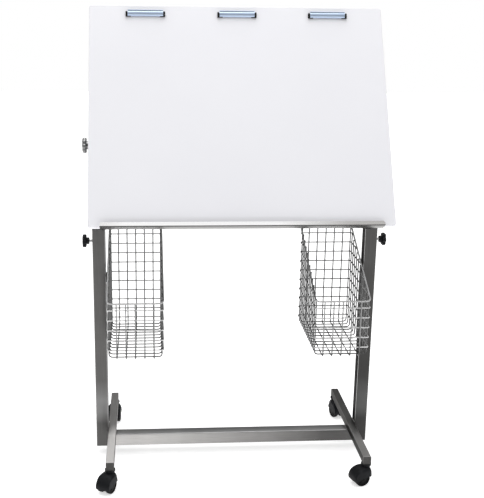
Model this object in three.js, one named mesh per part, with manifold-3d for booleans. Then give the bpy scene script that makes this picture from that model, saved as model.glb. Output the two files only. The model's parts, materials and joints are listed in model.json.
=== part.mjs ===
// Medical chart rack: a tilting white board on a height-adjustable stand of stainless tube,
// with two wire baskets and four twin-wheel castors. Millimetres, +Z up, writing side to -Y.
import * as THREE from 'three';
import { mergeVertices } from 'three/addons/utils/BufferGeometryUtils.js';
import Module from 'manifold-3d';

const wasm = await Module();
wasm.setup();

// Clearances
const SEAT_GAP = 0.3; // between pieces that rest on or turn in each other
const SLIDE_GAP = 0.3; // each side of a telescoping piece

// Stand of square tube
const FRAME_WIDTH = 900; // over the outer faces of the uprights, and the board's width
const UPRIGHT_TUBE = 40;
const UPRIGHT_WALL = 2;
const UPRIGHT_TOP = 763;
const UPRIGHT_CORNER = 3;
const CROSSBAR_HEIGHT = 40;
const CROSSBAR_DEPTH = 40;
const CROSSBAR_WALL = 2;
const CROSSBAR_CORNER = 3;
const FOOT_TUBE = 25;
const FOOT_WALL = 1.5;
const FOOT_CORNER = 2;
const FOOT_LENGTH = 525; // over both end caps
const FOOT_CAP = 3;
const CAP_SPIGOT = 4;

// Castors
const CASTOR_HEIGHT = 68; // floor to the underside of the foot
const CASTOR_INSET = 13; // swivel axis to the end of the foot
const CASTOR_WIDTH = 46;
const CASTOR_TRAIL = 21; // swivel axis to axle
const WHEEL_RADIUS = 25;
const WHEEL_WIDTH = 14.5;
const WHEEL_EDGE = 3;
const AXLE_RADIUS = 4.5;
const HOUSING_WEB = 14; // body between the two wheels
const HOUSING_WEB_RADIUS = 18;
const HOOD_CLEARANCE = 0.9;
const HOOD_WALL = 2.6;
const HOOD_FROM = 10; // degrees round the axle, from the stem side over the top
const HOOD_TO = 195;
const SHOULDER_BACK = 1.9; // radians round the axle where the shoulder leaves the hood
const SHOULDER_HALF = 18; // across the wheels
const COLLAR_RADIUS = 16;
const COLLAR_HEIGHT = 6;
const STEM_RADIUS = 5.5;
const STEM_LENGTH = 18; // inside the foot
const CASTORS = [
  { name: 'front_left', side: -1, end: -1, turn: -28 },
  { name: 'front_right', side: 1, end: -1, turn: -70 },
  { name: 'rear_left', side: -1, end: 1, turn: -6 },
  { name: 'rear_right', side: 1, end: 1, turn: 17 },
];

// Telescoping mast
const PIVOT_HEIGHT = 1024; // tilt axis above the floor
const BUSH_WALL = 1.4;
const BUSH_FLANGE = 5;
const BUSH_DEPTH = 28;
const INNER_WALL = 2;
const INNER_CORNER = 2;
const INNER_LENGTH = 700;
const INNER_OVER_PIVOT = 20;
const GLIDE_HEAD = 12;
const GLIDE_SPIGOT = 20;
const RAIL_TUBE = 25;
const RAIL_WALL = 1.5;
const RAIL_CORNER = 2;
const RAIL_DROP = 80; // rail axis below the tilt axis

// Clamp knobs
const STUD_RADIUS = 4;
const HEIGHT_KNOB_DROP = 39; // below the upright's mouth
const HEIGHT_KNOB_RADIUS = 20.5;
const HEIGHT_KNOB_THICK = 14;
const HEIGHT_KNOB_LOBES = 6;
const HEIGHT_KNOB_SCALLOP = 4.5;
const HEIGHT_HUB_RADIUS = 10;
const HEIGHT_HUB_LENGTH = 9;
const HEIGHT_STUD_FREE = 8; // bare thread between the upright and the hub
const TILT_KNOB_RADIUS = 23.5;
const TILT_KNOB_THICK = 14;
const TILT_KNOB_LOBES = 8;
const TILT_KNOB_SCALLOP = 3;
const TILT_HUB_RADIUS = 12;
const TILT_HUB_LENGTH = 14;
const TILT_KNOB_FACE = 4; // closed outer face over the thread
const BOLT_HEAD_RADIUS = 6.5;
const BOLT_HEAD_LENGTH = 5.5;

// Board, brackets and ledge
const BOARD_TILT = 61; // degrees from level
const BOARD_HEIGHT = 700;
const BOARD_THICK = 20;
const BOARD_CORNER = 6;
const BOARD_EDGE = 1.5;
const PIVOT_UP_BOARD = 287; // lower edge to the tilt axis, along the board
const BRACKET_REACH = 85; // board's back to the tilt axis
const BRACKET_PLATE = 4;
const BRACKET_LENGTH = 160;
const BRACKET_FLANGE = 40;
const BRACKET_EYE = 18;
const LEDGE_SHEET = 1.2;
const LEDGE_INSET = 35; // short of the board at each end
const LEDGE_DEPTH = 10;
const LEDGE_LIP = 12;
const LEDGE_BACK = 25;
const LEDGE_CORNER = 6;

// Paper clips
const CLIP_COUNT = 3;
const CLIP_SPACING = 280;
const CLIP_DROP = 14; // below the board's upper edge
const CLIP_WIDTH = 120;
const CLIP_LENGTH = 21;
const CLIP_SHEET = 1.4;
const CLIP_PIN_RADIUS = 1.5;
const CLIP_PIN_UP = 13; // jaw to pin, along the board
const CLIP_PIN_OUT = 4.5; // board to pin
const CLIP_EYE = 2.6;
const CLIP_EAR_AT = 37; // from the clip's middle
const CLIP_EAR_PLATE = 2;
const CLIP_LUG_AT = 42;
const CLIP_PIN_OVERHANG = 3;
const CLIP_BASE_PLATE = 1.2;
const CLIP_BASE_WIDTH = 100;
const CLIP_BASE_FROM = 5;
const PAD_CORNER_WIDTH = 6;
const PAD_CORNER_LENGTH = 10;
const PAD_CORNER_HEIGHT = 9.5;
const PAD_FOOT_WIDTH = 16;
const PAD_FOOT_LENGTH = 2;
const PAD_FOOT_HEIGHT = 5;
const PAD_STRIP_HEIGHT = 1.8;

// Baskets of welded wire
const BASKET_WIDTH = 174;
const BASKET_DEPTH = 322;
const BASKET_FLOOR = 392;
const BASKET_BACK = 341; // height of the back
const BASKET_FRONT = 183; // height of the front
const BASKET_SHIFT = -16; // middle of the basket, ahead of the uprights' axis
const BASKET_WIRE = 3.5;
const WIRE_PITCH = 30;
const SIDE_PITCH = 64; // the side nets carry about every second wire
const SMALLEST_GAP = 6;
const CLAMP_THICK = 6; // upright to basket
const CLAMP_DEPTH = 16;
const CLAMP_HEIGHT = 30;
const CLAMP_DROP = 32; // below the sloping rim

// Facets
const ARC_STEPS = 2;
const ROUND_STEPS = 12;
const WHEEL_STEPS = 20;
const LOBE_STEPS = 5;
const PIN_STEPS = 8;

// Places worked out from the sizes
const FOOT_BOTTOM = CASTOR_HEIGHT;
const CROSSBAR_BOTTOM = FOOT_BOTTOM - CROSSBAR_HEIGHT;
const UPRIGHT_X = FRAME_WIDTH / 2 - UPRIGHT_TUBE / 2;
const UPRIGHT_INNER_X = FRAME_WIDTH / 2 - UPRIGHT_TUBE;
const UPRIGHT_BORE = UPRIGHT_TUBE - 2 * UPRIGHT_WALL;
const INNER_TUBE = UPRIGHT_BORE - 2 * (BUSH_WALL + 2 * SLIDE_GAP);
const INNER_BORE = INNER_TUBE - 2 * INNER_WALL;
const INNER_TOP = PIVOT_HEIGHT + INNER_OVER_PIVOT;
const INNER_BOTTOM = INNER_TOP - INNER_LENGTH;
const BOARD_BACK_Y = -BRACKET_REACH;
const BOARD_FACE_Y = BOARD_BACK_Y - BOARD_THICK;
const BOARD_BOTTOM_Z = -PIVOT_UP_BOARD;
const BOARD_TOP_Z = BOARD_BOTTOM_Z + BOARD_HEIGHT;
const BASKET_X = UPRIGHT_INNER_X - CLAMP_THICK - BASKET_WIDTH / 2;

// Finishes
const finish = (color, roughness, metalness) =>
  new THREE.MeshStandardMaterial({ color, roughness, metalness });
const STEEL = finish(0x8f8f8d, 0.35, 1);
const CHROME = finish(0xc9d2dc, 0.1, 1);
const WIRE = finish(0xb4b4b2, 0.25, 1);
const LAMINATE = finish(0xececf0, 0.4, 0);
const BLACK_PLASTIC = finish(0x16161a, 0.45, 0);
const GREY_PLASTIC = finish(0x4c4b49, 0.5, 0);
const RUBBER = finish(0x1b1b1e, 0.8, 0);

// A closed geometry as a solid that can be joined and cut, and back again
function solidOf(geometry) {
  const bare = geometry.clone();
  bare.deleteAttribute('normal');
  bare.deleteAttribute('uv');
  const merged = mergeVertices(bare);
  return new wasm.Manifold(
    new wasm.Mesh({
      numProp: 3,
      vertProperties: new Float32Array(merged.attributes.position.array),
      triVerts: new Uint32Array(merged.index.array),
    }),
  );
}

function geometryOf(solid) {
  const mesh = solid.getMesh();
  const geometry = new THREE.BufferGeometry();
  geometry.setAttribute('position', new THREE.BufferAttribute(mesh.vertProperties, 3));
  geometry.setIndex(new THREE.BufferAttribute(mesh.triVerts, 1));
  geometry.computeVertexNormals();
  return geometry;
}

function join(...geometries) {
  return geometryOf(geometries.map(solidOf).reduce((whole, next) => whole.add(next)));
}

function cut(body, ...tools) {
  return geometryOf(tools.map(solidOf).reduce((rest, tool) => rest.subtract(tool), solidOf(body)));
}

// Outlines and extrusions: a shape drawn in (X, Y), (Y, Z) or (X, Z) and carried along the third axis
const AXIS_X = new THREE.Vector3(1, 0, 0);
const AXIS_Y = new THREE.Vector3(0, 1, 0);
const AXIS_Z = new THREE.Vector3(0, 0, 1);
const ALONG_X = new THREE.Matrix4().makeBasis(AXIS_Y, AXIS_Z, AXIS_X);
const ALONG_Y = new THREE.Matrix4().makeBasis(AXIS_X, AXIS_Z, AXIS_Y.clone().negate());

function extrudeZ(shape, from, to) {
  const settings = { depth: to - from, bevelEnabled: false, curveSegments: ARC_STEPS };
  return new THREE.ExtrudeGeometry(shape, settings).translate(0, 0, from);
}

function extrudeX(shape, from, to) {
  return extrudeZ(shape, Math.min(from, to), Math.max(from, to)).applyMatrix4(ALONG_X);
}

function extrudeY(shape, from, to) {
  return extrudeZ(shape, -Math.max(from, to), -Math.min(from, to)).applyMatrix4(ALONG_Y);
}

function roundedRect(width, height, radius, midX = 0, midY = 0) {
  const x = width / 2 - radius;
  const y = height / 2 - radius;
  const quarter = Math.PI / 2;
  const shape = new THREE.Shape();
  shape.absarc(midX + x, midY + y, radius, 0, quarter);
  shape.absarc(midX - x, midY + y, radius, quarter, 2 * quarter);
  shape.absarc(midX - x, midY - y, radius, 2 * quarter, 3 * quarter);
  shape.absarc(midX + x, midY - y, radius, 3 * quarter, 4 * quarter);
  return shape;
}

function rect(left, right, bottom, top) {
  return polygon([
    [left, bottom],
    [right, bottom],
    [right, top],
    [left, top],
  ]);
}

function polygon(points) {
  return new THREE.Shape(points.map(([x, y]) => new THREE.Vector2(x, y)));
}

// A bent sheet: a line of points given a thickness on both sides
function sheetOutline(points, thickness) {
  const line = points.map(([x, y]) => new THREE.Vector2(x, y));
  const sideways = line.map((point, i) => {
    const before = line[Math.max(i - 1, 0)];
    const after = line[Math.min(i + 1, line.length - 1)];
    const along = after.clone().sub(before).normalize();
    return new THREE.Vector2(-along.y, along.x).multiplyScalar(thickness / 2);
  });
  const upper = line.map((point, i) => point.clone().add(sideways[i]));
  const lower = line.map((point, i) => point.clone().sub(sideways[i]));
  return new THREE.Shape([...lower, ...upper.reverse()]);
}

// A hand knob's outline: round lobes with hollows between them
function lobedOutline(radius, scallop, lobes, midX, midY) {
  const steps = lobes * LOBE_STEPS;
  const points = [];
  for (let i = 0; i < steps; i++) {
    const angle = (2 * Math.PI * i) / steps;
    const wave = (1 - Math.cos(lobes * angle)) / 2;
    const reach = radius - scallop * wave * wave;
    points.push([midX + reach * Math.cos(angle), midY + reach * Math.sin(angle)]);
  }
  return polygon(points);
}

function rodX(radius, from, to, y, z, steps = ROUND_STEPS) {
  const rod = new THREE.CylinderGeometry(radius, radius, Math.abs(to - from), steps);
  return rod.rotateZ(Math.PI / 2).translate((from + to) / 2, y, z);
}

function rodZ(radius, from, to, x = 0, y = 0, steps = ROUND_STEPS) {
  const rod = new THREE.CylinderGeometry(radius, radius, to - from, steps);
  return rod.rotateX(Math.PI / 2).translate(x, y, (from + to) / 2);
}

function add(parent, name, geometry, material) {
  const mesh = new THREE.Mesh(geometry, material);
  mesh.name = name;
  parent.add(mesh);
}

const SIDES = [
  { name: 'left', side: -1 },
  { name: 'right', side: 1 },
];

// Uprights: square tube, closed below, with a hole for the height clamp in the outer wall
function addUpright(parent, { name, side }) {
  const middle = side * UPRIGHT_X;
  const outside = extrudeZ(
    roundedRect(UPRIGHT_TUBE, UPRIGHT_TUBE, UPRIGHT_CORNER, middle),
    CROSSBAR_BOTTOM,
    UPRIGHT_TOP,
  );
  const boreCorner = Math.max(UPRIGHT_CORNER - UPRIGHT_WALL, UPRIGHT_WALL / 2);
  const bore = extrudeZ(
    roundedRect(UPRIGHT_BORE, UPRIGHT_BORE, boreCorner, middle),
    CROSSBAR_BOTTOM + UPRIGHT_WALL,
    UPRIGHT_TOP + UPRIGHT_WALL,
  );
  const studHole = rodX(
    STUD_RADIUS + SEAT_GAP,
    side * UPRIGHT_X,
    side * (FRAME_WIDTH / 2 + UPRIGHT_WALL),
    0,
    UPRIGHT_TOP - HEIGHT_KNOB_DROP,
  );
  add(parent, `upright_${name}`, cut(outside, bore, studHole), STEEL);
}

// Crossbar between the uprights, level with their lower ends
function addCrossbar(parent) {
  const middle = CROSSBAR_BOTTOM + CROSSBAR_HEIGHT / 2;
  const shape = roundedRect(CROSSBAR_DEPTH, CROSSBAR_HEIGHT, CROSSBAR_CORNER, 0, middle);
  const boreCorner = Math.max(CROSSBAR_CORNER - CROSSBAR_WALL, CROSSBAR_WALL / 2);
  const boreDepth = CROSSBAR_DEPTH - 2 * CROSSBAR_WALL;
  const boreHeight = CROSSBAR_HEIGHT - 2 * CROSSBAR_WALL;
  shape.holes.push(roundedRect(boreDepth, boreHeight, boreCorner, 0, middle));
  add(parent, 'crossbar', extrudeX(shape, -UPRIGHT_INNER_X, UPRIGHT_INNER_X), STEEL);
}

// Feet: square tube that lies on the crossbar against the upright, with a cap in each end
const FOOT_X = UPRIGHT_INNER_X - FOOT_TUBE / 2;
const FOOT_MIDDLE_Z = FOOT_BOTTOM + FOOT_TUBE / 2;
const FOOT_BORE = FOOT_TUBE - 2 * FOOT_WALL;
const CASTOR_Y = FOOT_LENGTH / 2 - CASTOR_INSET;

function addFoot(parent, { name, side }) {
  const x = side * FOOT_X;
  const tubeEnd = FOOT_LENGTH / 2 - FOOT_CAP;
  const shape = roundedRect(FOOT_TUBE, FOOT_TUBE, FOOT_CORNER, x, FOOT_MIDDLE_Z);
  const boreCorner = Math.max(FOOT_CORNER - FOOT_WALL, FOOT_WALL / 2);
  shape.holes.push(roundedRect(FOOT_BORE, FOOT_BORE, boreCorner, x, FOOT_MIDDLE_Z));
  const stemHoles = [-1, 1].map((end) =>
    rodZ(STEM_RADIUS + SEAT_GAP, FOOT_BOTTOM - FOOT_WALL, FOOT_MIDDLE_Z, x, end * CASTOR_Y),
  );
  add(parent, `foot_${name}`, cut(extrudeY(shape, -tubeEnd, tubeEnd), ...stemHoles), STEEL);
  for (const [place, end] of [['front', -1], ['rear', 1]]) {
    const head = extrudeY(
      roundedRect(FOOT_TUBE, FOOT_TUBE, FOOT_CORNER, x, FOOT_MIDDLE_Z),
      end * tubeEnd,
      (end * FOOT_LENGTH) / 2,
    );
    const spigotSize = FOOT_BORE - 2 * SEAT_GAP;
    const spigot = extrudeY(
      roundedRect(spigotSize, spigotSize, FOOT_CORNER, x, FOOT_MIDDLE_Z),
      end * (tubeEnd - CAP_SPIGOT),
      end * (tubeEnd + FOOT_CAP / 2),
    );
    add(parent, `foot_cap_${place}_${name}`, join(head, spigot), GREY_PLASTIC);
  }
}

// Collar bush in an upright's mouth, which guides the inner tube
function addBush(parent, { name, side }) {
  const middle = side * UPRIGHT_X;
  const sleeveSize = UPRIGHT_BORE - 2 * SLIDE_GAP;
  const boreSize = INNER_TUBE + 2 * SLIDE_GAP;
  const top = UPRIGHT_TOP + BUSH_FLANGE;
  const bottom = UPRIGHT_TOP - BUSH_DEPTH;
  const flange = extrudeZ(roundedRect(UPRIGHT_TUBE, UPRIGHT_TUBE, UPRIGHT_CORNER, middle), UPRIGHT_TOP, top);
  const sleeve = extrudeZ(roundedRect(sleeveSize, sleeveSize, INNER_CORNER, middle), bottom, top);
  const bore = extrudeZ(
    roundedRect(boreSize, boreSize, INNER_CORNER, middle),
    bottom - BUSH_FLANGE,
    top + BUSH_FLANGE,
  );
  add(parent, `collar_bush_${name}`, cut(join(flange, sleeve), bore), BLACK_PLASTIC);
}

// Inner tube, closed above, with the pivot bolt's hole through both walls, and its glide below
function addInnerTube(parent, { name, side }) {
  const middle = side * UPRIGHT_X;
  const outside = extrudeZ(
    roundedRect(INNER_TUBE, INNER_TUBE, INNER_CORNER, middle),
    INNER_BOTTOM,
    INNER_TOP,
  );
  const boreCorner = Math.max(INNER_CORNER - INNER_WALL, INNER_WALL / 2);
  const bore = extrudeZ(
    roundedRect(INNER_BORE, INNER_BORE, boreCorner, middle),
    INNER_BOTTOM - INNER_WALL,
    INNER_TOP - INNER_WALL,
  );
  const boltHole = rodX(
    STUD_RADIUS + SEAT_GAP,
    middle - INNER_TUBE,
    middle + INNER_TUBE,
    0,
    PIVOT_HEIGHT,
  );
  add(parent, `inner_tube_${name}`, cut(outside, bore, boltHole), STEEL);

  const headSize = UPRIGHT_BORE - 2 * SLIDE_GAP;
  const spigotSize = INNER_BORE - 2 * SEAT_GAP;
  const head = extrudeZ(
    roundedRect(headSize, headSize, INNER_CORNER, middle),
    INNER_BOTTOM - GLIDE_HEAD,
    INNER_BOTTOM,
  );
  const spigot = extrudeZ(
    roundedRect(spigotSize, spigotSize, INNER_CORNER, middle),
    INNER_BOTTOM - GLIDE_HEAD / 2,
    INNER_BOTTOM + GLIDE_SPIGOT,
  );
  add(parent, `glide_${name}`, join(head, spigot), GREY_PLASTIC);
}

// Tie rail that makes the two inner tubes one frame
function addTieRail(parent) {
  const z = PIVOT_HEIGHT - RAIL_DROP;
  const end = UPRIGHT_X - INNER_TUBE / 2;
  const bore = RAIL_TUBE - 2 * RAIL_WALL;
  const shape = roundedRect(RAIL_TUBE, RAIL_TUBE, RAIL_CORNER, 0, z);
  shape.holes.push(roundedRect(bore, bore, Math.max(RAIL_CORNER - RAIL_WALL, RAIL_WALL / 2), 0, z));
  add(parent, 'tie_rail', extrudeX(shape, -end, end), STEEL);
}

// Height clamp: star knob with a moulded-in stud that presses on the inner tube
function addHeightKnob(parent, { name, side }) {
  const z = UPRIGHT_TOP - HEIGHT_KNOB_DROP;
  const tip = UPRIGHT_X + INNER_TUBE / 2 + SEAT_GAP;
  const hubFrom = FRAME_WIDTH / 2 + HEIGHT_STUD_FREE;
  const headFrom = hubFrom + HEIGHT_HUB_LENGTH;
  const headTo = headFrom + HEIGHT_KNOB_THICK;
  const outline = lobedOutline(HEIGHT_KNOB_RADIUS, HEIGHT_KNOB_SCALLOP, HEIGHT_KNOB_LOBES, 0, z);
  const knob = join(
    extrudeX(outline, side * headFrom, side * headTo),
    rodX(HEIGHT_HUB_RADIUS, side * hubFrom, side * (headFrom + HEIGHT_KNOB_THICK / 2), 0, z),
    rodX(STUD_RADIUS, side * tip, side * (headFrom + HEIGHT_KNOB_THICK / 4), 0, z),
  );
  add(parent, `height_knob_${name}`, knob, BLACK_PLASTIC);
}

// Tilt clamp: lobed knob on the pivot bolt, outside the inner tube
const TILT_HUB_FROM = UPRIGHT_X + INNER_TUBE / 2 + SEAT_GAP;
const TILT_HEAD_FROM = TILT_HUB_FROM + TILT_HUB_LENGTH;
const TILT_HEAD_TO = TILT_HEAD_FROM + TILT_KNOB_THICK;
const TILT_BORE_TO = TILT_HEAD_TO - TILT_KNOB_FACE;

function addTiltKnob(parent, { name, side }) {
  const outline = lobedOutline(TILT_KNOB_RADIUS, TILT_KNOB_SCALLOP, TILT_KNOB_LOBES, 0, PIVOT_HEIGHT);
  const hubTo = TILT_HEAD_FROM + TILT_KNOB_THICK / 2;
  const body = join(
    extrudeX(outline, side * TILT_HEAD_FROM, side * TILT_HEAD_TO),
    rodX(TILT_HUB_RADIUS, side * TILT_HUB_FROM, side * hubTo, 0, PIVOT_HEIGHT),
  );
  const bore = rodX(
    STUD_RADIUS + SEAT_GAP,
    side * (TILT_HUB_FROM - TILT_HUB_LENGTH),
    side * TILT_BORE_TO,
    0,
    PIVOT_HEIGHT,
  );
  add(parent, `tilt_knob_${name}`, cut(body, bore), CHROME);
}

// Pivot bolt: hexagon head inside the bracket's ear, thread in the knob
const EAR_OUTER_X = UPRIGHT_X - INNER_TUBE / 2 - SEAT_GAP;
const EAR_INNER_X = EAR_OUTER_X - BRACKET_PLATE;

function addPivotBolt(parent, { name, side }) {
  const headFrom = EAR_INNER_X - SEAT_GAP;
  const shankFrom = headFrom - BOLT_HEAD_LENGTH / 2;
  const shankTo = TILT_BORE_TO - SEAT_GAP;
  const bolt = join(
    rodX(STUD_RADIUS, side * shankFrom, side * shankTo, 0, PIVOT_HEIGHT),
    rodX(BOLT_HEAD_RADIUS, side * (headFrom - BOLT_HEAD_LENGTH), side * headFrom, 0, PIVOT_HEIGHT, 6),
  );
  add(parent, `pivot_bolt_${name}`, bolt, STEEL);
}

// Board assembly, drawn upright about the tilt axis and then leaned back
function addPanel(board) {
  const middle = (BOARD_BOTTOM_Z + BOARD_TOP_Z) / 2;
  const settings = {
    depth: BOARD_THICK - 2 * BOARD_EDGE,
    bevelThickness: BOARD_EDGE,
    bevelSize: BOARD_EDGE,
    bevelOffset: -BOARD_EDGE,
    bevelSegments: 1,
    curveSegments: ARC_STEPS,
  };
  const shape = roundedRect(FRAME_WIDTH, BOARD_HEIGHT, BOARD_CORNER, 0, middle);
  const panel = new THREE.ExtrudeGeometry(shape, settings);
  panel.translate(0, 0, BOARD_EDGE - BOARD_BACK_Y).applyMatrix4(ALONG_Y);
  add(board, 'board_panel', panel, LAMINATE);
}

function addBracket(board, { name, side }) {
  const flangeFrom = BOARD_BACK_Y + SEAT_GAP;
  const flangeTo = flangeFrom + BRACKET_PLATE;
  const half = BRACKET_LENGTH / 2;
  const ear = new THREE.Shape();
  ear.moveTo(flangeFrom, -half);
  ear.absarc(0, 0, BRACKET_EYE, -Math.PI / 2, Math.PI / 2);
  ear.lineTo(flangeFrom, half);
  const flange = rect(flangeFrom, flangeTo, -half, half);
  const plates = join(
    extrudeX(ear, side * EAR_INNER_X, side * EAR_OUTER_X),
    extrudeX(flange, side * (EAR_OUTER_X - BRACKET_FLANGE), side * EAR_OUTER_X),
  );
  const hole = rodX(
    STUD_RADIUS + SEAT_GAP,
    side * (EAR_INNER_X - BRACKET_PLATE),
    side * (EAR_OUTER_X + BRACKET_PLATE),
    0,
    0,
  );
  add(board, `board_bracket_${name}`, cut(plates, hole), STEEL);
}

// Ledge: a sheet channel round the board's lower edge, with a lip that has rounded upper corners
function addLedge(board) {
  const half = FRAME_WIDTH / 2 - LEDGE_INSET;
  const backFrom = BOARD_BACK_Y + SEAT_GAP;
  const backTo = backFrom + LEDGE_SHEET;
  const floorTop = BOARD_BOTTOM_Z - SEAT_GAP;
  const floorBottom = floorTop - LEDGE_SHEET;
  const lipBack = BOARD_FACE_Y - LEDGE_DEPTH;
  const lipFront = lipBack - LEDGE_SHEET;
  const lipTop = BOARD_BOTTOM_Z + LEDGE_LIP;
  const channel = polygon([
    [lipFront, floorBottom],
    [backTo, floorBottom],
    [backTo, BOARD_BOTTOM_Z + LEDGE_BACK],
    [backFrom, BOARD_BOTTOM_Z + LEDGE_BACK],
    [backFrom, floorTop],
    [lipFront, floorTop],
  ]);
  const lip = new THREE.Shape();
  lip.moveTo(-half, floorBottom);
  lip.lineTo(half, floorBottom);
  lip.absarc(half - LEDGE_CORNER, lipTop - LEDGE_CORNER, LEDGE_CORNER, 0, Math.PI / 2);
  lip.absarc(LEDGE_CORNER - half, lipTop - LEDGE_CORNER, LEDGE_CORNER, Math.PI / 2, Math.PI);
  add(board, 'ledge', join(extrudeX(channel, -half, half), extrudeY(lip, lipFront, lipBack)), STEEL);
}

// Clip: a base plate with ears and a pin, a sprung lever that turns on the pin, and a rubber jaw pad
function addClip(board, index) {
  const middle = (index - (CLIP_COUNT - 1) / 2) * CLIP_SPACING;
  const name = `clip_${index + 1}`;
  const jawZ = BOARD_TOP_Z - CLIP_DROP - CLIP_LENGTH;
  const faceY = BOARD_FACE_Y - SEAT_GAP;
  const at = (up, out) => [faceY - out, jawZ + up];
  const [pinY, pinZ] = at(CLIP_PIN_UP, CLIP_PIN_OUT);
  const upright = (from, to, low, high) => rect(faceY - high, faceY - low, jawZ + from, jawZ + to);
  const plateFaces = (where) =>
    [-0.5, 0.5].map((half) => middle + where + half * CLIP_EAR_PLATE);
  const plateX = (shape, where) => extrudeX(shape, ...plateFaces(where));
  const eyeX = (radius, where) => rodX(radius, ...plateFaces(where), pinY, pinZ, PIN_STEPS);
  const besidePin = [CLIP_PIN_UP - CLIP_EYE, CLIP_PIN_UP + CLIP_EYE];
  const pinEnd = CLIP_LUG_AT + CLIP_PIN_OVERHANG;

  const plate = extrudeX(
    upright(CLIP_BASE_FROM, CLIP_LENGTH, 0, CLIP_BASE_PLATE),
    middle - CLIP_BASE_WIDTH / 2,
    middle + CLIP_BASE_WIDTH / 2,
  );
  const ears = [-CLIP_EAR_AT, CLIP_EAR_AT].flatMap((where) => [
    plateX(upright(...besidePin, CLIP_BASE_PLATE / 2, CLIP_PIN_OUT), where),
    eyeX(CLIP_EYE, where),
  ]);
  const pin = rodX(CLIP_PIN_RADIUS, middle - pinEnd, middle + pinEnd, pinY, pinZ, PIN_STEPS);
  add(board, `${name}_base`, join(plate, ...ears, pin), CHROME);

  const crown = CLIP_PIN_OUT + CLIP_EYE + 2 * CLIP_SHEET;
  const sheet = sheetOutline(
    [
      at(CLIP_SHEET / 2, PAD_STRIP_HEIGHT + SEAT_GAP + CLIP_SHEET),
      at(CLIP_SHEET * 2, crown * 0.72),
      at(CLIP_PIN_UP * 0.5, crown * 0.94),
      at(CLIP_PIN_UP * 0.85, crown),
      at(CLIP_PIN_UP + CLIP_EYE, crown * 0.92),
      at(CLIP_LENGTH - CLIP_SHEET, crown * 1.15),
    ],
    CLIP_SHEET,
  );
  const leverHalf = CLIP_WIDTH / 2 - PAD_CORNER_WIDTH - SEAT_GAP;
  const lugs = [-CLIP_LUG_AT, CLIP_LUG_AT].flatMap((where) => [
    plateX(upright(...besidePin, CLIP_PIN_OUT, crown * 0.94), where),
    eyeX(CLIP_EYE, where),
  ]);
  const pinHole = rodX(
    CLIP_PIN_RADIUS + SEAT_GAP,
    middle - CLIP_WIDTH / 2,
    middle + CLIP_WIDTH / 2,
    pinY,
    pinZ,
    PIN_STEPS,
  );
  const lever = join(extrudeX(sheet, middle - leverHalf, middle + leverHalf), ...lugs);
  add(board, `${name}_lever`, cut(lever, pinHole), CHROME);

  const strip = extrudeX(
    upright(-PAD_FOOT_LENGTH, CLIP_SHEET, 0, PAD_STRIP_HEIGHT),
    middle - CLIP_WIDTH / 2,
    middle + CLIP_WIDTH / 2,
  );
  const corners = [-1, 1].flatMap((end) => {
    const outer = middle + (end * CLIP_WIDTH) / 2;
    return [
      extrudeX(
        upright(-PAD_FOOT_LENGTH, PAD_CORNER_LENGTH, 0, PAD_CORNER_HEIGHT),
        outer,
        outer - end * PAD_CORNER_WIDTH,
      ),
      extrudeX(
        upright(-PAD_FOOT_LENGTH, -SEAT_GAP, 0, PAD_FOOT_HEIGHT),
        outer,
        outer - end * PAD_FOOT_WIDTH,
      ),
    ];
  });
  add(board, `${name}_pad`, join(strip, ...corners), RUBBER);
}

function addBoard(parent) {
  const board = new THREE.Group();
  board.position.z = PIVOT_HEIGHT;
  board.rotation.x = THREE.MathUtils.degToRad(BOARD_TILT - 90);
  addPanel(board);
  addLedge(board);
  for (const side of SIDES) addBracket(board, side);
  for (let index = 0; index < CLIP_COUNT; index++) addClip(board, index);
  parent.add(board);
}

// Baskets: five flat wire nets, each a plate as thick as the wire with every gap cut out
function netPanel({ outline, gaps }, extrude, from, to) {
  const tools = gaps.map((gap) => extrude(polygon(gap), from - BASKET_WIRE, to + BASKET_WIRE));
  return cut(extrude(polygon(outline), from, to), ...tools);
}

function squareNet(left, right, bottom, top) {
  const columns = Math.round((right - left) / WIRE_PITCH);
  const rows = Math.round((top - bottom) / WIRE_PITCH);
  const stepX = (right - left - BASKET_WIRE) / columns;
  const stepY = (top - bottom - BASKET_WIRE) / rows;
  const gaps = [];
  for (let column = 0; column < columns; column++) {
    for (let row = 0; row < rows; row++) {
      const x = left + BASKET_WIRE + column * stepX;
      const y = bottom + BASKET_WIRE + row * stepY;
      const gapX = stepX - BASKET_WIRE;
      const gapY = stepY - BASKET_WIRE;
      gaps.push([[x, y], [x + gapX, y], [x + gapX, y + gapY], [x, y + gapY]]);
    }
  }
  return { outline: [[left, bottom], [right, bottom], [right, top], [left, top]], gaps };
}

// A gap of the side net, cut off by the sloping rim: its lower corners, then its upper edge
function gapUnderRim(from, to, bottom, top, rim) {
  const upper = [[to, Math.min(top, rim(to))]];
  if (rim(from) < top && rim(to) > top) {
    const crossing = from + ((to - from) * (top - rim(from))) / (rim(to) - rim(from));
    upper.push([crossing, top]);
  }
  upper.push([from, Math.min(top, rim(from))]);
  return [[from, bottom], [to, bottom], ...upper];
}

function sideNet(front, back, bottom) {
  const slope = (BASKET_BACK - BASKET_FRONT) / (back - front);
  const rim = (y) => bottom + BASKET_FRONT + slope * (y - front);
  const underRim = (y) => rim(y) - BASKET_WIRE * Math.hypot(1, slope);
  const columns = 2 * Math.round((back - front) / SIDE_PITCH / 2);
  const rows = Math.round(BASKET_BACK / SIDE_PITCH);
  const stepY = (back - front - BASKET_WIRE) / columns;
  const stepZ = (BASKET_BACK - BASKET_WIRE) / rows;
  const gaps = [];
  for (let column = 0; column < columns; column++) {
    const from = front + BASKET_WIRE + column * stepY;
    const to = from + stepY - BASKET_WIRE;
    for (let row = 0; row < rows; row++) {
      const low = bottom + BASKET_WIRE + row * stepZ;
      const high = low + stepZ - BASKET_WIRE;
      if (underRim(from) - low > SMALLEST_GAP) gaps.push(gapUnderRim(from, to, low, high, underRim));
    }
  }
  const outline = [[front, bottom], [back, bottom], [back, rim(back)], [front, rim(front)]];
  return { outline, gaps };
}

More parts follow.
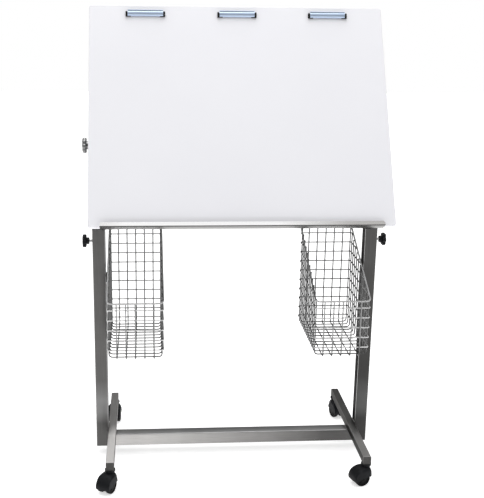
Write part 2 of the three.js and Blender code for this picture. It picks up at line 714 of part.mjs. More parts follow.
const BASKET_FRONT_Y = BASKET_SHIFT - BASKET_DEPTH / 2;
const BASKET_BACK_Y = BASKET_SHIFT + BASKET_DEPTH / 2;

function addBasket(parent, { name, side }) {
  const middle = side * BASKET_X;
  const left = middle - BASKET_WIDTH / 2;
  const right = middle + BASKET_WIDTH / 2;
  const innerLeft = left + BASKET_WIRE + SEAT_GAP;
  const innerRight = right - BASKET_WIRE - SEAT_GAP;
  const innerFront = BASKET_FRONT_Y + BASKET_WIRE + SEAT_GAP;
  const innerBack = BASKET_BACK_Y - BASKET_WIRE - SEAT_GAP;
  const wall = sideNet(BASKET_FRONT_Y, BASKET_BACK_Y, BASKET_FLOOR);
  const back = squareNet(innerLeft, innerRight, BASKET_FLOOR, BASKET_FLOOR + BASKET_BACK);
  const front = squareNet(innerLeft, innerRight, BASKET_FLOOR, BASKET_FLOOR + BASKET_FRONT);
  const floor = squareNet(innerLeft, innerRight, innerFront, innerBack);
  const inward = side > 0 ? ['inner', 'outer'] : ['outer', 'inner'];
  const net = (place, drawn, extrude, from) =>
    add(parent, `basket_${name}_${place}`, netPanel(drawn, extrude, from, from + BASKET_WIRE), WIRE);
  net(`${inward[0]}_side`, wall, extrudeX, left);
  net(`${inward[1]}_side`, wall, extrudeX, right - BASKET_WIRE);
  net('back', back, extrudeY, BASKET_BACK_Y - BASKET_WIRE);
  net('front', front, extrudeY, BASKET_FRONT_Y);
  net('floor', floor, extrudeZ, BASKET_FLOOR);
}

// Clamp block that holds the basket's outer side to the upright, on the side net's middle wire
function addBasketClamp(parent, { name, side }) {
  const rimSlope = (BASKET_BACK - BASKET_FRONT) / BASKET_DEPTH;
  const top = BASKET_FLOOR + BASKET_FRONT + (rimSlope * BASKET_DEPTH) / 2 - CLAMP_DROP;
  const shape = roundedRect(CLAMP_DEPTH, CLAMP_HEIGHT, FOOT_CORNER, BASKET_SHIFT / 2, top - CLAMP_HEIGHT / 2);
  const basketFace = UPRIGHT_INNER_X - CLAMP_THICK + SEAT_GAP;
  const block = extrudeX(shape, side * basketFace, side * UPRIGHT_INNER_X);
  add(parent, `basket_clamp_${name}`, block, BLACK_PLASTIC);
}

// Castor: a hooded housing that turns on its stem, and two wheels on its axle
function castorHousing() {
  const half = CASTOR_WIDTH / 2;
  const hoodInside = WHEEL_RADIUS + HOOD_CLEARANCE;
  const hoodOutside = hoodInside + HOOD_WALL;
  const [from, to] = [HOOD_FROM, HOOD_TO].map((angle) => THREE.MathUtils.degToRad(angle));
  const hood = new THREE.Shape();
  hood.absarc(-CASTOR_TRAIL, WHEEL_RADIUS, hoodOutside, from, to);
  hood.absarc(-CASTOR_TRAIL, WHEEL_RADIUS, hoodInside, to, from, true);
  const hoodShell = new THREE.ExtrudeGeometry(hood, {
    depth: CASTOR_WIDTH,
    bevelEnabled: false,
    curveSegments: ROUND_STEPS,
  });
  hoodShell.translate(0, 0, -half).applyMatrix4(ALONG_X);
  const collarBottom = CASTOR_HEIGHT - SEAT_GAP - COLLAR_HEIGHT;
  const wheelSpaces = [-1, 1].map((side) => {
    const from = (side * HOUSING_WEB) / 2;
    const to = side * (half + HOUSING_WEB);
    return rodX(hoodInside, from, to, -CASTOR_TRAIL, WHEEL_RADIUS, WHEEL_STEPS);
  });
  const boss = cut(rodZ(COLLAR_RADIUS, WHEEL_RADIUS, collarBottom + COLLAR_HEIGHT / 2), ...wheelSpaces);
  const web = rodX(
    HOUSING_WEB_RADIUS,
    -HOUSING_WEB / 2,
    HOUSING_WEB / 2,
    -CASTOR_TRAIL,
    WHEEL_RADIUS,
  );
  const spine = polygon([
    [-CASTOR_TRAIL - HOUSING_WEB_RADIUS / 2, WHEEL_RADIUS],
    [0, WHEEL_RADIUS],
    [0, collarBottom],
    [-CASTOR_TRAIL - HOUSING_WEB_RADIUS / 2, hoodInside + WHEEL_RADIUS * 0.85],
  ]);
  const shoulder = new THREE.Shape();
  shoulder.moveTo(COLLAR_RADIUS, collarBottom + COLLAR_HEIGHT / 2);
  shoulder.lineTo(-COLLAR_RADIUS, collarBottom + COLLAR_HEIGHT / 2);
  shoulder.absarc(-CASTOR_TRAIL, WHEEL_RADIUS, hoodInside + HOOD_WALL / 2, SHOULDER_BACK, from, true);
  shoulder.lineTo(COLLAR_RADIUS, collarBottom);
  const axleEnd = HOUSING_WEB / 2 + SEAT_GAP + WHEEL_WIDTH;
  return join(
    hoodShell,
    boss,
    web,
    extrudeX(spine, -HOUSING_WEB / 2, HOUSING_WEB / 2),
    extrudeX(shoulder, -SHOULDER_HALF, SHOULDER_HALF),
    rodZ(COLLAR_RADIUS, collarBottom, collarBottom + COLLAR_HEIGHT),
    rodZ(STEM_RADIUS, collarBottom + COLLAR_HEIGHT / 2, CASTOR_HEIGHT + STEM_LENGTH),
    rodX(AXLE_RADIUS, -axleEnd, axleEnd, -CASTOR_TRAIL, WHEEL_RADIUS),
  );
}

function castorWheel(side) {
  const bore = AXLE_RADIUS + SEAT_GAP;
  const half = WHEEL_WIDTH / 2;
  const profile = [
    [bore, -half],
    [WHEEL_RADIUS - WHEEL_EDGE, -half],
    [WHEEL_RADIUS, WHEEL_EDGE - half],
    [WHEEL_RADIUS, half - WHEEL_EDGE],
    [WHEEL_RADIUS - WHEEL_EDGE, half],
    [bore, half],
    [bore, -half],
  ].map(([radius, along]) => new THREE.Vector2(radius, along));
  const wheel = new THREE.LatheGeometry(profile, WHEEL_STEPS);
  const middle = side * (HOUSING_WEB / 2 + SEAT_GAP + half);
  return wheel.rotateZ(Math.PI / 2).translate(middle, -CASTOR_TRAIL, WHEEL_RADIUS);
}

function addCastor(parent, { name, side, end, turn }) {
  const castor = new THREE.Group();
  castor.position.set(side * FOOT_X, end * CASTOR_Y, 0);
  castor.rotation.z = THREE.MathUtils.degToRad(turn);
  add(castor, `castor_${name}_housing`, castorHousing(), BLACK_PLASTIC);
  for (const { name: which, side: hand } of SIDES) {
    add(castor, `castor_${name}_wheel_${which}`, castorWheel(hand), RUBBER);
  }
  parent.add(castor);
}

// The whole rack, moved so that its origin is the middle of its box on the floor
const rack = new THREE.Group();
addCrossbar(rack);
addTieRail(rack);
for (const side of SIDES) {
  addUpright(rack, side);
  addFoot(rack, side);
  addBush(rack, side);
  addInnerTube(rack, side);
  addHeightKnob(rack, side);
  addTiltKnob(rack, side);
  addPivotBolt(rack, side);
  addBasket(rack, side);
  addBasketClamp(rack, side);
}
addBoard(rack);
for (const castor of CASTORS) addCastor(rack, castor);

const box = new THREE.Box3().setFromObject(rack);
rack.position.y = -Math.round((box.min.y + box.max.y) / 2);
const chartRack = new THREE.Group();
chartRack.add(rack);

export default chartRack;
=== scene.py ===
# %% [markdown]
# # A medical chart rack
# The rack is a white writing board on a rolling stand of stainless tube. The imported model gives
# every solid its place. It could be shown as it is, but its tubes have sharp corners and its nets are
# flat, so this lesson gives each piece the surface that the eye expects.

# %% load the frame
import json
import math

import bmesh
import bpy
import numpy as np
from mathutils import Matrix, Vector


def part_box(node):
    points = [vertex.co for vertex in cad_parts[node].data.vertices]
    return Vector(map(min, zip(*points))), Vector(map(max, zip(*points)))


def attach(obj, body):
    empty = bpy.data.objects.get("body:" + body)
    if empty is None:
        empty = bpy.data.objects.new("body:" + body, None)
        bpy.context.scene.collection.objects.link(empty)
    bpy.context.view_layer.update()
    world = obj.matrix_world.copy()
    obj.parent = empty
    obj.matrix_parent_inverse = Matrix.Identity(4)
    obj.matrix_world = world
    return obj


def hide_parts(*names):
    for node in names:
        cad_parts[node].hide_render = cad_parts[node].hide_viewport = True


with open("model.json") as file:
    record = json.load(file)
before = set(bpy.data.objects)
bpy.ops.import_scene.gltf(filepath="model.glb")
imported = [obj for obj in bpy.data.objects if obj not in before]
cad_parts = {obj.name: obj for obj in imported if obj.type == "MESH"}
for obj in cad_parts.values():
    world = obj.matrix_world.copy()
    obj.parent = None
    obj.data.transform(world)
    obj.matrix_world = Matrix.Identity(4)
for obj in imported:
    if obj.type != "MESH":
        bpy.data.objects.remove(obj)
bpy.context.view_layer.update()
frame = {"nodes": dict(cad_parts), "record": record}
joints = {joint["name"]: joint for joint in frame["record"]["behaviour"]["joints"]}

# %% [markdown]
# ## Camera
# The camera could be placed by eye. This one was found by fitting the board, tubes and feet to the
# photograph, so that lengths along the view come out right too. The image's middle is not on the
# optical axis, so a small sideways shift frames it, with no turning of the view.

# %% camera
IMAGE_WIDTH, IMAGE_HEIGHT = 484, 498
FOCAL_PIXELS, AXIS_COLUMN = 933.088, 215.562
EYE = Vector((-0.280216, -2.828664, 1.467569))
YAW, PITCH, ROLL = (math.radians(a) for a in (4.3577, 15.1673, -0.7346))

ahead = Vector((math.sin(YAW) * math.cos(PITCH), math.cos(YAW) * math.cos(PITCH), -math.sin(PITCH)))
level = Vector((math.cos(YAW), -math.sin(YAW), 0))
below = ahead.cross(level)
rightward = math.cos(ROLL) * level + math.sin(ROLL) * below
downward = math.cos(ROLL) * below - math.sin(ROLL) * level
turn = Matrix((rightward, -downward, -ahead)).transposed().to_4x4()

lens = bpy.data.cameras.new("portrait")
lens.sensor_width = 36
lens.lens = FOCAL_PIXELS * 36 / IMAGE_HEIGHT
lens.shift_x = (IMAGE_WIDTH / 2 - AXIS_COLUMN) / IMAGE_HEIGHT
lens.clip_end = 50
camera = bpy.data.objects.new("portrait", lens)
camera.matrix_world = Matrix.Translation(EYE) @ turn
bpy.context.collection.objects.link(camera)
bpy.context.scene.camera = camera
print("lens", round(lens.lens, 2), "mm, shift", round(lens.shift_x, 4))

# %% [markdown]
# ## Surfaces from arrays
# A piece could start from Blender's primitives and modifiers. Here it is made of shells, because then
# every radius is a number that can be read. A shell is a grid of points: its rows follow one parameter
# and its columns another. Where the rows don't close on themselves, a flat face closes each end.
# Everything is worked out in millimetres and put into the mesh in metres.

# %% shells and pieces
MM = 0.001


def shell(grid, loop_rows=False, caps=True):
    """Quads between neighbouring rows and columns; the columns always close into a ring."""
    rows, columns = grid.shape[:2]
    index = np.arange(rows * columns).reshape(rows, columns)
    below = np.roll(index, -1, 0)
    quads = np.stack([index, np.roll(index, -1, 1), np.roll(below, -1, 1), below], -1)
    quads = quads if loop_rows else quads[:-1]
    ends = [index[0][::-1], index[-1]] if caps and not loop_rows else []
    return grid.reshape(-1, 3), quads.reshape(-1, 4), ends


def piece(name, shells, finish, body, replaces=()):
    """Joins shells into one mesh, turns its faces outwards and lets it ride on a body."""
    starts = np.cumsum([0] + [len(points) for points, _, _ in shells])
    points = np.concatenate([points for points, _, _ in shells]) * MM
    quads = np.concatenate([quads + start for (_, quads, _), start in zip(shells, starts)])
    ends = [(end + start).tolist() for (_, _, ends), start in zip(shells, starts) for end in ends]
    mesh = bpy.data.meshes.new(name)
    mesh.from_pydata(points.tolist(), [], quads.tolist() + ends)
    tidy = bmesh.new()
    tidy.from_mesh(mesh)
    bmesh.ops.recalc_face_normals(tidy, faces=tidy.faces[:])
    tidy.to_mesh(mesh)
    tidy.free()
    mesh.polygons.foreach_set("use_smooth", np.ones(len(mesh.polygons), bool))
    mesh.set_sharp_from_angle(angle=math.radians(40))
    mesh.materials.append(finish)
    made = bpy.data.objects.new(name, mesh)
    bpy.context.collection.objects.link(made)
    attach(made, body)
    if replaces:
        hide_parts(*replaces)
    return made


def box_mm(node):
    """A node's lowest and highest corner in millimetres."""
    low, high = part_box(node)
    return np.array(low) / MM, np.array(high) / MM


def dress(finish, *nodes):
    """Gives CAD nodes a finish through their material slots."""
    for node in nodes:
        for slot in frame["nodes"][node].material_slots:
            slot.material = finish


print("a shell of 3 rows and 4 columns has", len(shell(np.zeros((3, 4, 3)))[1]), "quads")

# %% [markdown]
# ## Outlines and carried shapes
# Tube, blocks, turned parts and wire are all made by carrying one outline along a line, as a mill
# draws them. A curve with a bevel would do the same, but its corners would be harder to set exactly.

# %% outlines and carried shapes
AXES = {"x": (0, 1, 2), "y": (1, 0, 2), "z": (2, 0, 1)}


def lay(axis, along, across):
    """Puts plane points (rows, columns, 2) at heights along an axis: the other two axes in order."""
    grid = np.empty(across.shape[:2] + (3,))
    first, second, third = AXES[axis]
    grid[..., first] = np.asarray(along, float)[:, None]
    grid[..., second] = across[..., 0]
    grid[..., third] = across[..., 1]
    return grid


def rounded_rect(width, height, radius, steps=5):
    """Four quarter circles, whose straight links are the sides."""
    angle = np.linspace(0, np.pi / 2, steps + 1)[None] + np.arange(4)[:, None] * np.pi / 2
    sign = np.array([[1, 1], [-1, 1], [-1, -1], [1, -1]])[:, None]
    middle = sign * np.array([width / 2 - radius, height / 2 - radius])
    return (middle + radius * np.stack([np.cos(angle), np.sin(angle)], -1)).reshape(-1, 2)


def block(axis, low, high, radius, soft):
    """A rounded rectangle carried along an axis, drawn in by a quarter round at both ends."""
    low, high = np.minimum(low, high), np.maximum(low, high)
    first, second, third = AXES[axis]
    size = (high - low)[[second, third]]
    middle = (high + low)[[second, third]] / 2
    turn = np.linspace(0, np.pi / 2, 4)
    inset = np.concatenate([soft * (1 - np.sin(turn)), soft * (1 - np.cos(turn))])
    along = np.concatenate(
        [low[first] + soft * (1 - np.cos(turn)), high[first] - soft * (1 - np.sin(turn))]
    )
    rings = [rounded_rect(*(size - 2 * i), max(radius - i, 0.15)) + middle for i in inset]
    return shell(lay(axis, along, np.stack(rings)))


def square_tube(axis, middle, size, radius, wall, start, end, soft=0.5):
    """A hollow square tube: outside ring, softened mouth, inside ring, and back."""
    outside = rounded_rect(size, size, radius)
    drawn = rounded_rect(size - 2 * soft, size - 2 * soft, max(radius - soft, 0.3))
    bore = rounded_rect(size - 2 * wall, size - 2 * wall, max(radius - wall, 0.8))
    rings = np.stack([drawn, outside, outside, drawn, bore, bore]) + np.asarray(middle, float)
    along = [start, start + soft, end - soft, end, end, start]
    return shell(lay(axis, along, rings), loop_rows=True)


def spun(axis, middle, along, radius, steps=32, loop=False):
    """A profile of radii turned about an axis through a point of the other two axes."""
    angle = np.linspace(0, 2 * np.pi, steps, endpoint=False)
    circle = np.stack([np.cos(angle), np.sin(angle)], -1)
    rings = np.asarray(radius, float)[:, None, None] * circle + np.asarray(middle, float)
    return shell(lay(axis, along, rings), loop_rows=loop)


def bent(corners, radius, closed=False, steps=5):
    """A line of points whose corners become smooth bends that start a radius away."""
    corners = np.asarray(corners, float)
    back = np.roll(corners, 1, 0) - corners
    forth = np.roll(corners, -1, 0) - corners
    enter = corners + radius * back / np.linalg.norm(back, axis=1, keepdims=True)
    leave = corners + radius * forth / np.linalg.norm(forth, axis=1, keepdims=True)
    t = np.linspace(0, 1, steps)[None, :, None]
    curve = enter[:, None] * (1 - t) ** 2 + 2 * corners[:, None] * t * (1 - t) + leave[:, None] * t**2
    if closed:
        return curve.reshape(-1, 3)
    return np.concatenate([corners[:1], curve[1:-1].reshape(-1, 3), corners[-1:]])


def wire(path, radius, flat, closed=False, sides=8):
    """A round wire along a path that lies in the plane with normal `flat`."""
    along = np.roll(path, -1, 0) - np.roll(path, 1, 0) if closed else np.gradient(path, axis=0)
    along /= np.linalg.norm(along, axis=1, keepdims=True)
    flat = np.asarray(flat, float) / np.linalg.norm(flat)
    out = np.cross(along, flat)
    angle = np.linspace(0, 2 * np.pi, sides, endpoint=False)[None, :, None]
    return shell(
        path[:, None] + radius * (np.cos(angle) * out[:, None] + np.sin(angle) * flat),
        loop_rows=closed,
    )


print("a rounded outline has", len(rounded_rect(40, 40, 3)), "points")

# %% [markdown]
# ## Finishes as expressions
# A finish is a node tree. It could be wired node by node; the small class below lets a socket be used
# in Python arithmetic instead, so that a mask or a scratch is one readable line. One method adds any
# other node.


# %% sockets and finishes
class Value:
    """A socket that takes part in sums and products; each operation adds a Math node."""

    def __init__(self, finish, socket):
        self.finish, self.socket = finish, socket

    def maths(self, operation, first, second):
        """One Math node on two numbers or sockets."""
        return self.finish.node("ShaderNodeMath", {"operation": operation}, {0: first, 1: second})

    def __add__(self, other):
        return self.maths("ADD", self, other)

    def __mul__(self, other):
        return self.maths("MULTIPLY", self, other)

    def __sub__(self, other):
        return self.maths("SUBTRACT", self, other)

    def __rsub__(self, other):
        return self.maths("SUBTRACT", other, self)

    __radd__ = __add__
    __rmul__ = __mul__


class Finish:
    """A material with one Principled shader and short ways to feed it."""

    def __init__(self, name, **constants):
        self.material = bpy.data.materials.new(name)
        self.material.use_nodes = True
        self.tree = self.material.node_tree
        self.shader = self.tree.nodes["Principled BSDF"]
        self.place = self.node("ShaderNodeTexCoord", out="Object")
        for socket, value in constants.items():
            self.feed(socket.replace("_", " "), value)

    def node(self, kind, settings=None, inputs=None, out=0):
        """Adds a node, sets its settings, then its sockets, and gives one output back."""
        made = self.tree.nodes.new(kind)
        for key, value in (settings or {}).items():
            setattr(made, key, value)
        for key, value in (inputs or {}).items():
            self.link(value, made.inputs[key])
        return Value(self, made.outputs[out])

    def link(self, value, socket):
        """Links a value to a socket, or sets the socket where the value is a plain number or colour."""
        if isinstance(value, Value):
            self.tree.links.new(value.socket, socket)
        else:
            socket.default_value = value

    def feed(self, socket, value):
        """Links or sets one socket of the Principled shader."""
        self.link(value, self.shader.inputs[socket])

    def noise(self, scale, detail=3, stretch=(1, 1, 1)):
        """Noise on Object coordinates; a small stretch factor draws it out along that axis."""
        where = self.node("ShaderNodeMapping", None, {"Vector": self.place, "Scale": stretch})
        inputs = {"Vector": where, "Scale": scale, "Detail": detail}
        return self.node("ShaderNodeTexNoise", None, inputs, out="Fac")

    def along(self, axis):
        """One Object coordinate, in metres."""
        return self.node("ShaderNodeSeparateXYZ", None, {"Vector": self.place}, out=axis)

    def facing(self, axis):
        """One part of the surface normal: 1 where the surface faces along the axis."""
        normal = self.node("ShaderNodeTexCoord", out="Normal")
        return self.node("ShaderNodeSeparateXYZ", None, {"Vector": normal}, out=axis)

    def spread(self, value, low, high):
        """Maps a value from a range to 0..1 and holds it there."""
        inputs = {"Value": value, "From Min": low, "From Max": high}
        return self.node("ShaderNodeMapRange", None, inputs)

    def mix(self, factor, first, second):
        """The first colour at factor 0, the second at 1."""
        settings = {"data_type": "RGBA"}
        return self.node("ShaderNodeMix", settings, {0: factor, 6: first, 7: second}, out=2)

    def bump(self, height, strength, distance):
        """Feeds Normal from a height of the given size in metres."""
        inputs = {"Height": height, "Strength": strength, "Distance": distance}
        self.feed("Normal", self.node("ShaderNodeBump", None, inputs))


def grey(value, warm=0.0):
    """A grey whose red is raised, and blue lowered, by the share `warm`."""
    return (value * (1 + warm), value, value * (1 - warm), 1)


print("a warm mid grey:", grey(0.5, 0.02))

# %% [markdown]
# ## Brushed steel
# Stainless tube is brushed along its length. Anisotropic gloss could show that, but the export can't
# carry it, so the noise itself is stretched along the tube and feeds colour, roughness and bump.
# Corners carry a painted highlight. Painted reflections make the front of the tubes across lighter
# towards the left, their tops and the fronts of the feet lighter, and the right upright darker towards
# the bottom; a cloudy painted sweep lightens the uprights low down.

# %% brushed steel
# Painted light below: a corner highlight tone, lighter tones for the top of tubes across, tones for runs of
# painted reflection, and the heights of a painted sweep.
EDGE_TINT, EDGE_HIGHLIGHT_TONE, STEEL_WARM = 0.3, 0.5, 0.02
GRAIN_SCALE, BAND_SCALE, CLOUD_SCALE = 900, 13, 7
FACES_UP, FACES_READER = (0.3, 0.9), (-0.3, -0.9)
TOP_HIGHLIGHT_LOW, TOP_HIGHLIGHT_HIGH = grey(0.2), grey(0.46)
PAINTED_RUN_LOW, PAINTED_RUN_HIGH, PAINTED_RUN_LIMIT, PAINTED_RUN_ROUGHER = 0.65, 1.35, 0.98, 0.22
SWEEP_FADES_UP, SWEEP_FADES_DOWN = (0.26, 0.19), (0.11, 0.15)


def brushed(name, stretch, tone=0.098, rough=0.34, painted_run=None, face=None, painted_sweep=0):
    """Steel with grain along the tube, bands across it, and a painted highlight on its corners. Corners are
    where two parts of the normal are both large: 4 (x^2 y^2 + y^2 z^2 + z^2 x^2) is 1 there and 0 on flat
    sides. The run argument names an axis, the start and end of a run of painted reflection, and its tone;
    face keeps it to one side, and the front face also paints the tube's upward faces lighter as a painted
    highlight. The sweep argument is the tone of a cloudy painted reflection low on the uprights."""
    steel = Finish(name, Metallic=1.0, Specular_Tint=grey(EDGE_TINT))
    lines = steel.noise(GRAIN_SCALE, 4, stretch)
    bands = steel.noise(BAND_SCALE, 2, tuple(1 if part < 0.5 else 0.05 for part in stretch))
    cloud = steel.noise(CLOUD_SCALE, 3)
    grain = lines * 0.5 + cloud * 0.2 + bands * 0.3
    colour = steel.mix(grain, grey(tone * 0.5, STEEL_WARM), grey(tone * 1.5, STEEL_WARM))
    x, y, z = (steel.facing(axis) for axis in "XYZ")
    # A run of painted reflection: the steel turns lighter or darker along one axis.
    if painted_run:
        axis, start, end, run_tone = painted_run
        run = steel.spread(steel.along(axis), start, end)
        if face == "top":
            run = run * steel.spread(z, *FACES_UP)
            rough = rough + PAINTED_RUN_ROUGHER * run
        if face == "front":
            run = run * steel.spread(y, *FACES_READER)
            # Painted highlight: the upward faces of tubes across are lighter, as if lit from above.
            bar_top_highlight = steel.mix(grain, TOP_HIGHLIGHT_LOW, TOP_HIGHLIGHT_HIGH)
            colour = steel.mix(steel.spread(z, *FACES_UP), colour, bar_top_highlight)
        low = grey(run_tone * PAINTED_RUN_LOW, STEEL_WARM)
        high = grey(min(PAINTED_RUN_LIMIT, run_tone * PAINTED_RUN_HIGH), STEEL_WARM)
        colour = steel.mix(run, colour, steel.mix(grain, low, high))
    # Painted reflection: a cloudy lighter sweep low on the uprights.
    if painted_sweep:
        height = steel.along("Z")
        sweep = steel.spread(height, *SWEEP_FADES_UP) * steel.spread(height, *SWEEP_FADES_DOWN)
        colour = steel.mix(sweep * cloud, colour, grey(painted_sweep))
    # Painted highlight along the rounded corners.
    painted_highlight = steel.spread(4 * (x * x * y * y + y * y * z * z + z * z * x * x), 0.45, 0.95)
    steel.feed("Base Color", steel.mix(0.8 * painted_highlight, colour, grey(EDGE_HIGHLIGHT_TONE)))
    steel.feed("Roughness", rough - 0.1 + 0.12 * lines + 0.1 * cloud)
    steel.bump(lines, 0.12, 0.0002)
    return steel.material


GRAIN_X, GRAIN_Y, GRAIN_Z = (0.02, 1, 1), (1, 0.02, 1), (1, 1, 0.02)
# Painted reflections: the front of the crossbar and tie rail lightens towards the left, the right foot's
# top towards the front; the uprights carry the painted sweep.
STEEL_ALONG = {
    "x": brushed("brushed_steel_across", GRAIN_X, painted_run=("X", 0.3, -0.45, 0.55), face="front"),
    "y": brushed("brushed_steel_deep", GRAIN_Y, 0.16, painted_run=("Y", 0.0, -0.12, 0.32), face="top"),
    "z": brushed("brushed_steel_upright", GRAIN_Z, painted_sweep=0.3),
}
# The right upright is a darker copy of the upright steel, a painted shade that darkens further towards the
# bottom; the left foot is a lighter copy with a strong painted reflection towards its front. The real rack
# has one finish on both sides.
RIGHT_UPRIGHT = brushed(
    "brushed_steel_right_upright", GRAIN_Z, 0.08, painted_run=("Z", 0.72, 0.3, 0.045), painted_sweep=0.13
)
LEFT_FOOT = brushed(
    "brushed_steel_left_foot", GRAIN_Y, 0.4, 0.3, painted_run=("Y", 0.02, -0.06, 1.4), face="top"
)
print("brushed steels:", [steel.name for steel in STEEL_ALONG.values()], RIGHT_UPRIGHT.name, LEFT_FOOT.name)

# %% [markdown]
# ## Wire and plated metal
# Bright wire and plated clips are smoother than the tube, with faint smudges. One even chrome would
# make the baskets a grey haze; the front and outer wires carry a painted highlight, so they are lighter,
# the level wires are a lighter copy painted as lit from above, and the clip plate's blue tint is a painted
# reflection.

# %% wire and plated metal


def bright(name, low, high, rough):
    """Metal between two tones: cloudy smudges blend them, and raise its roughness by up to 0.1."""
    metal = Finish(name, Metallic=1.0)
    smudge = metal.noise(18, 4)
    fine = metal.noise(420, 2)
    metal.feed("Base Color", metal.mix(smudge, low, high))
    metal.feed("Roughness", rough + 0.1 * metal.spread(smudge, 0.4, 0.8) + 0.05 * fine)
    metal.bump(fine, 0.06, 0.0001)
    return metal.material


FRONT_WALL_Y, OUTER_WALL_Y, OUTER_WALL_XX = (-0.149, -0.156), (0.06, -0.06), (0.085, 0.125)
FLOOR_FADE = 0.04


def drawn(name, back, front, outer, above):
    """Drawn wire with a painted highlight on the front wall and, by the share `outer`, on the outer walls.
    Either mask or both: a + b - a b. The basket floor gets none, up to 40 mm over the height `above`."""
    wire_steel = Finish(name, Metallic=1.0)
    x, y, z = (wire_steel.along(axis) for axis in "XYZ")
    smudge = wire_steel.noise(60, 4)
    fine = wire_steel.noise(700, 2)
    # Painted highlight on the front and outer walls.
    front_wall = wire_steel.spread(y, *FRONT_WALL_Y)
    outer_wall = outer * wire_steel.spread(x * x, *OUTER_WALL_XX) * wire_steel.spread(y, *OUTER_WALL_Y)
    painted_highlight = front_wall + outer_wall - front_wall * outer_wall
    painted_highlight = painted_highlight * wire_steel.spread(z, above, above + FLOOR_FADE)
    tone = wire_steel.mix(painted_highlight, grey(back), grey(front))
    wire_steel.feed("Base Color", wire_steel.mix(0.3 * smudge, tone, grey(0.5 * back)))
    wire_steel.feed("Roughness", 0.12 + 0.12 * smudge + 0.05 * fine + 0.1 * painted_highlight + 0.3 * outer_wall)
    wire_steel.bump(fine, 0.06, 0.0001)
    return wire_steel.material


# Lit and shaded copies of one wire: the level wires are painted lighter as if lit from above, the rim
# between, the bent wires darker.
WIRE = drawn("drawn_wire", 0.09, 0.26, 0.1, 0.41)
LEVEL_WIRE = drawn("drawn_wire_level", 0.3, 0.75, 1.0, 0.37)
RIM_WIRE = drawn("drawn_wire_rim", 0.1, 0.55, 1.0, 0.37)
CHROME = bright("plated_chrome", (0.62, 0.67, 0.74, 1), (0.78, 0.82, 0.88, 1), 0.08)
# The plate's blue tint is a painted reflection of a bluish surround.
CLIP_PLATE = bright("clip_plate", (0.44, 0.54, 0.70, 1), (0.56, 0.65, 0.79, 1), 0.42)
KNOB_CHROME = bright("knob_chrome", grey(0.1), grey(0.3), 0.1)
# A near-black finish for the rod that paints the clips' crease shadow.
CREASE_SHADE = bright("painted_crease_shade", grey(0.02), grey(0.05), 0.35)
BOLT = bright("zinc_bolt", grey(0.3), grey(0.48), 0.3)
print("other metals:", WIRE.name, LEVEL_WIRE.name, RIM_WIRE.name, CHROME.name, CLIP_PLATE.name)

# %% [markdown]
# ## Laminate, plastics and rubber
# The board's laminate has a very fine orange peel and a faint cloudiness. Moulded plastic has a
# spark-eroded grain; the soft rubber of the clips is duller, and castor wheels carry scuffs. A picture
# of such a surface would need unwrapping; noise on Object coordinates needs none.

# %% laminate and plastics
LAMINATE_LOW, LAMINATE_HIGH = (0.755, 0.755, 0.79, 1), (0.80, 0.80, 0.83, 1)
LAMINATE_FINISH = Finish("white_laminate", Specular_IOR_Level=0.4)
peel = LAMINATE_FINISH.noise(1500, 2)
cloud = LAMINATE_FINISH.noise(3, 3)
LAMINATE_FINISH.feed("Base Color", LAMINATE_FINISH.mix(cloud, LAMINATE_LOW, LAMINATE_HIGH))
LAMINATE_FINISH.feed("Roughness", 0.34 + 0.08 * cloud + 0.06 * peel)
LAMINATE_FINISH.bump(peel, 0.015, 0.0001)
LAMINATE = LAMINATE_FINISH.material


def moulded(name, low, high, rough, grain=1400, gloss=0.15):
    """Plastic with a fine grain in bump and roughness, and scuffs that lighten it and make it glossier."""
    plastic = Finish(name, Specular_IOR_Level=gloss)
    fine = plastic.noise(grain, 3)
    scuff = plastic.spread(plastic.noise(60, 6), 0.52, 0.75)
    plastic.feed("Base Color", plastic.mix(scuff, low, high))
    plastic.feed("Roughness", rough - 0.08 * scuff + 0.12 * fine)
    plastic.bump(fine, 0.15, 0.0002)
    return plastic.material


BLACK = moulded("black_moulding", (0.0045, 0.005, 0.0065, 1), (0.010, 0.011, 0.013, 1), 0.46)
GREY_CAP = moulded("grey_cap", grey(0.065, 0.03), grey(0.085, 0.03), 0.5)
RUBBER = moulded("soft_rubber", grey(0.010), grey(0.018), 0.7, 900)
WHEEL = moulded("castor_nylon", grey(0.004), grey(0.010), 0.42, 700, 0.08)
print("plastics:", LAMINATE.name, BLACK.name, GREY_CAP.name, RUBBER.name, WHEEL.name)

# %% [markdown]
# ## Tube frame
# Rolled square tube has rounded corners that catch a line of light. A Bevel on the CAD node would
# change its mesh, which stays as it is, so each tube is redrawn in its node's own box with rounded
# corners, a wall and a softened mouth.

# %% tubes
SIDES = (("left", -1), ("right", 1))
FRAME_TUBE, INNER_TUBE, SLIM_TUBE = (3, 2), (2, 2), (2, 1.5)
LID_INSET, LID_THICK, LID_SUNK = 1, 2, 0.02
AXIS_Y = joints["board_tilt"]["pos_m"][1] / MM
AXIS_Z = joints["board_tilt"]["pos_m"][2] / MM


def tube_of(node, axis, corner_and_wall, body, steel=None):
    """Redraws a tube node in its own box, along the given axis."""
    low, high = box_mm(node)
    first, second, third = AXES[axis]
    middle = (low + high)[[second, third]] / 2
    size = (high - low)[second]
    made = square_tube(axis, middle, size, *corner_and_wall, low[first], high[first])
    return piece(node + "_tube", [made], steel or STEEL_ALONG[axis], body, [node])


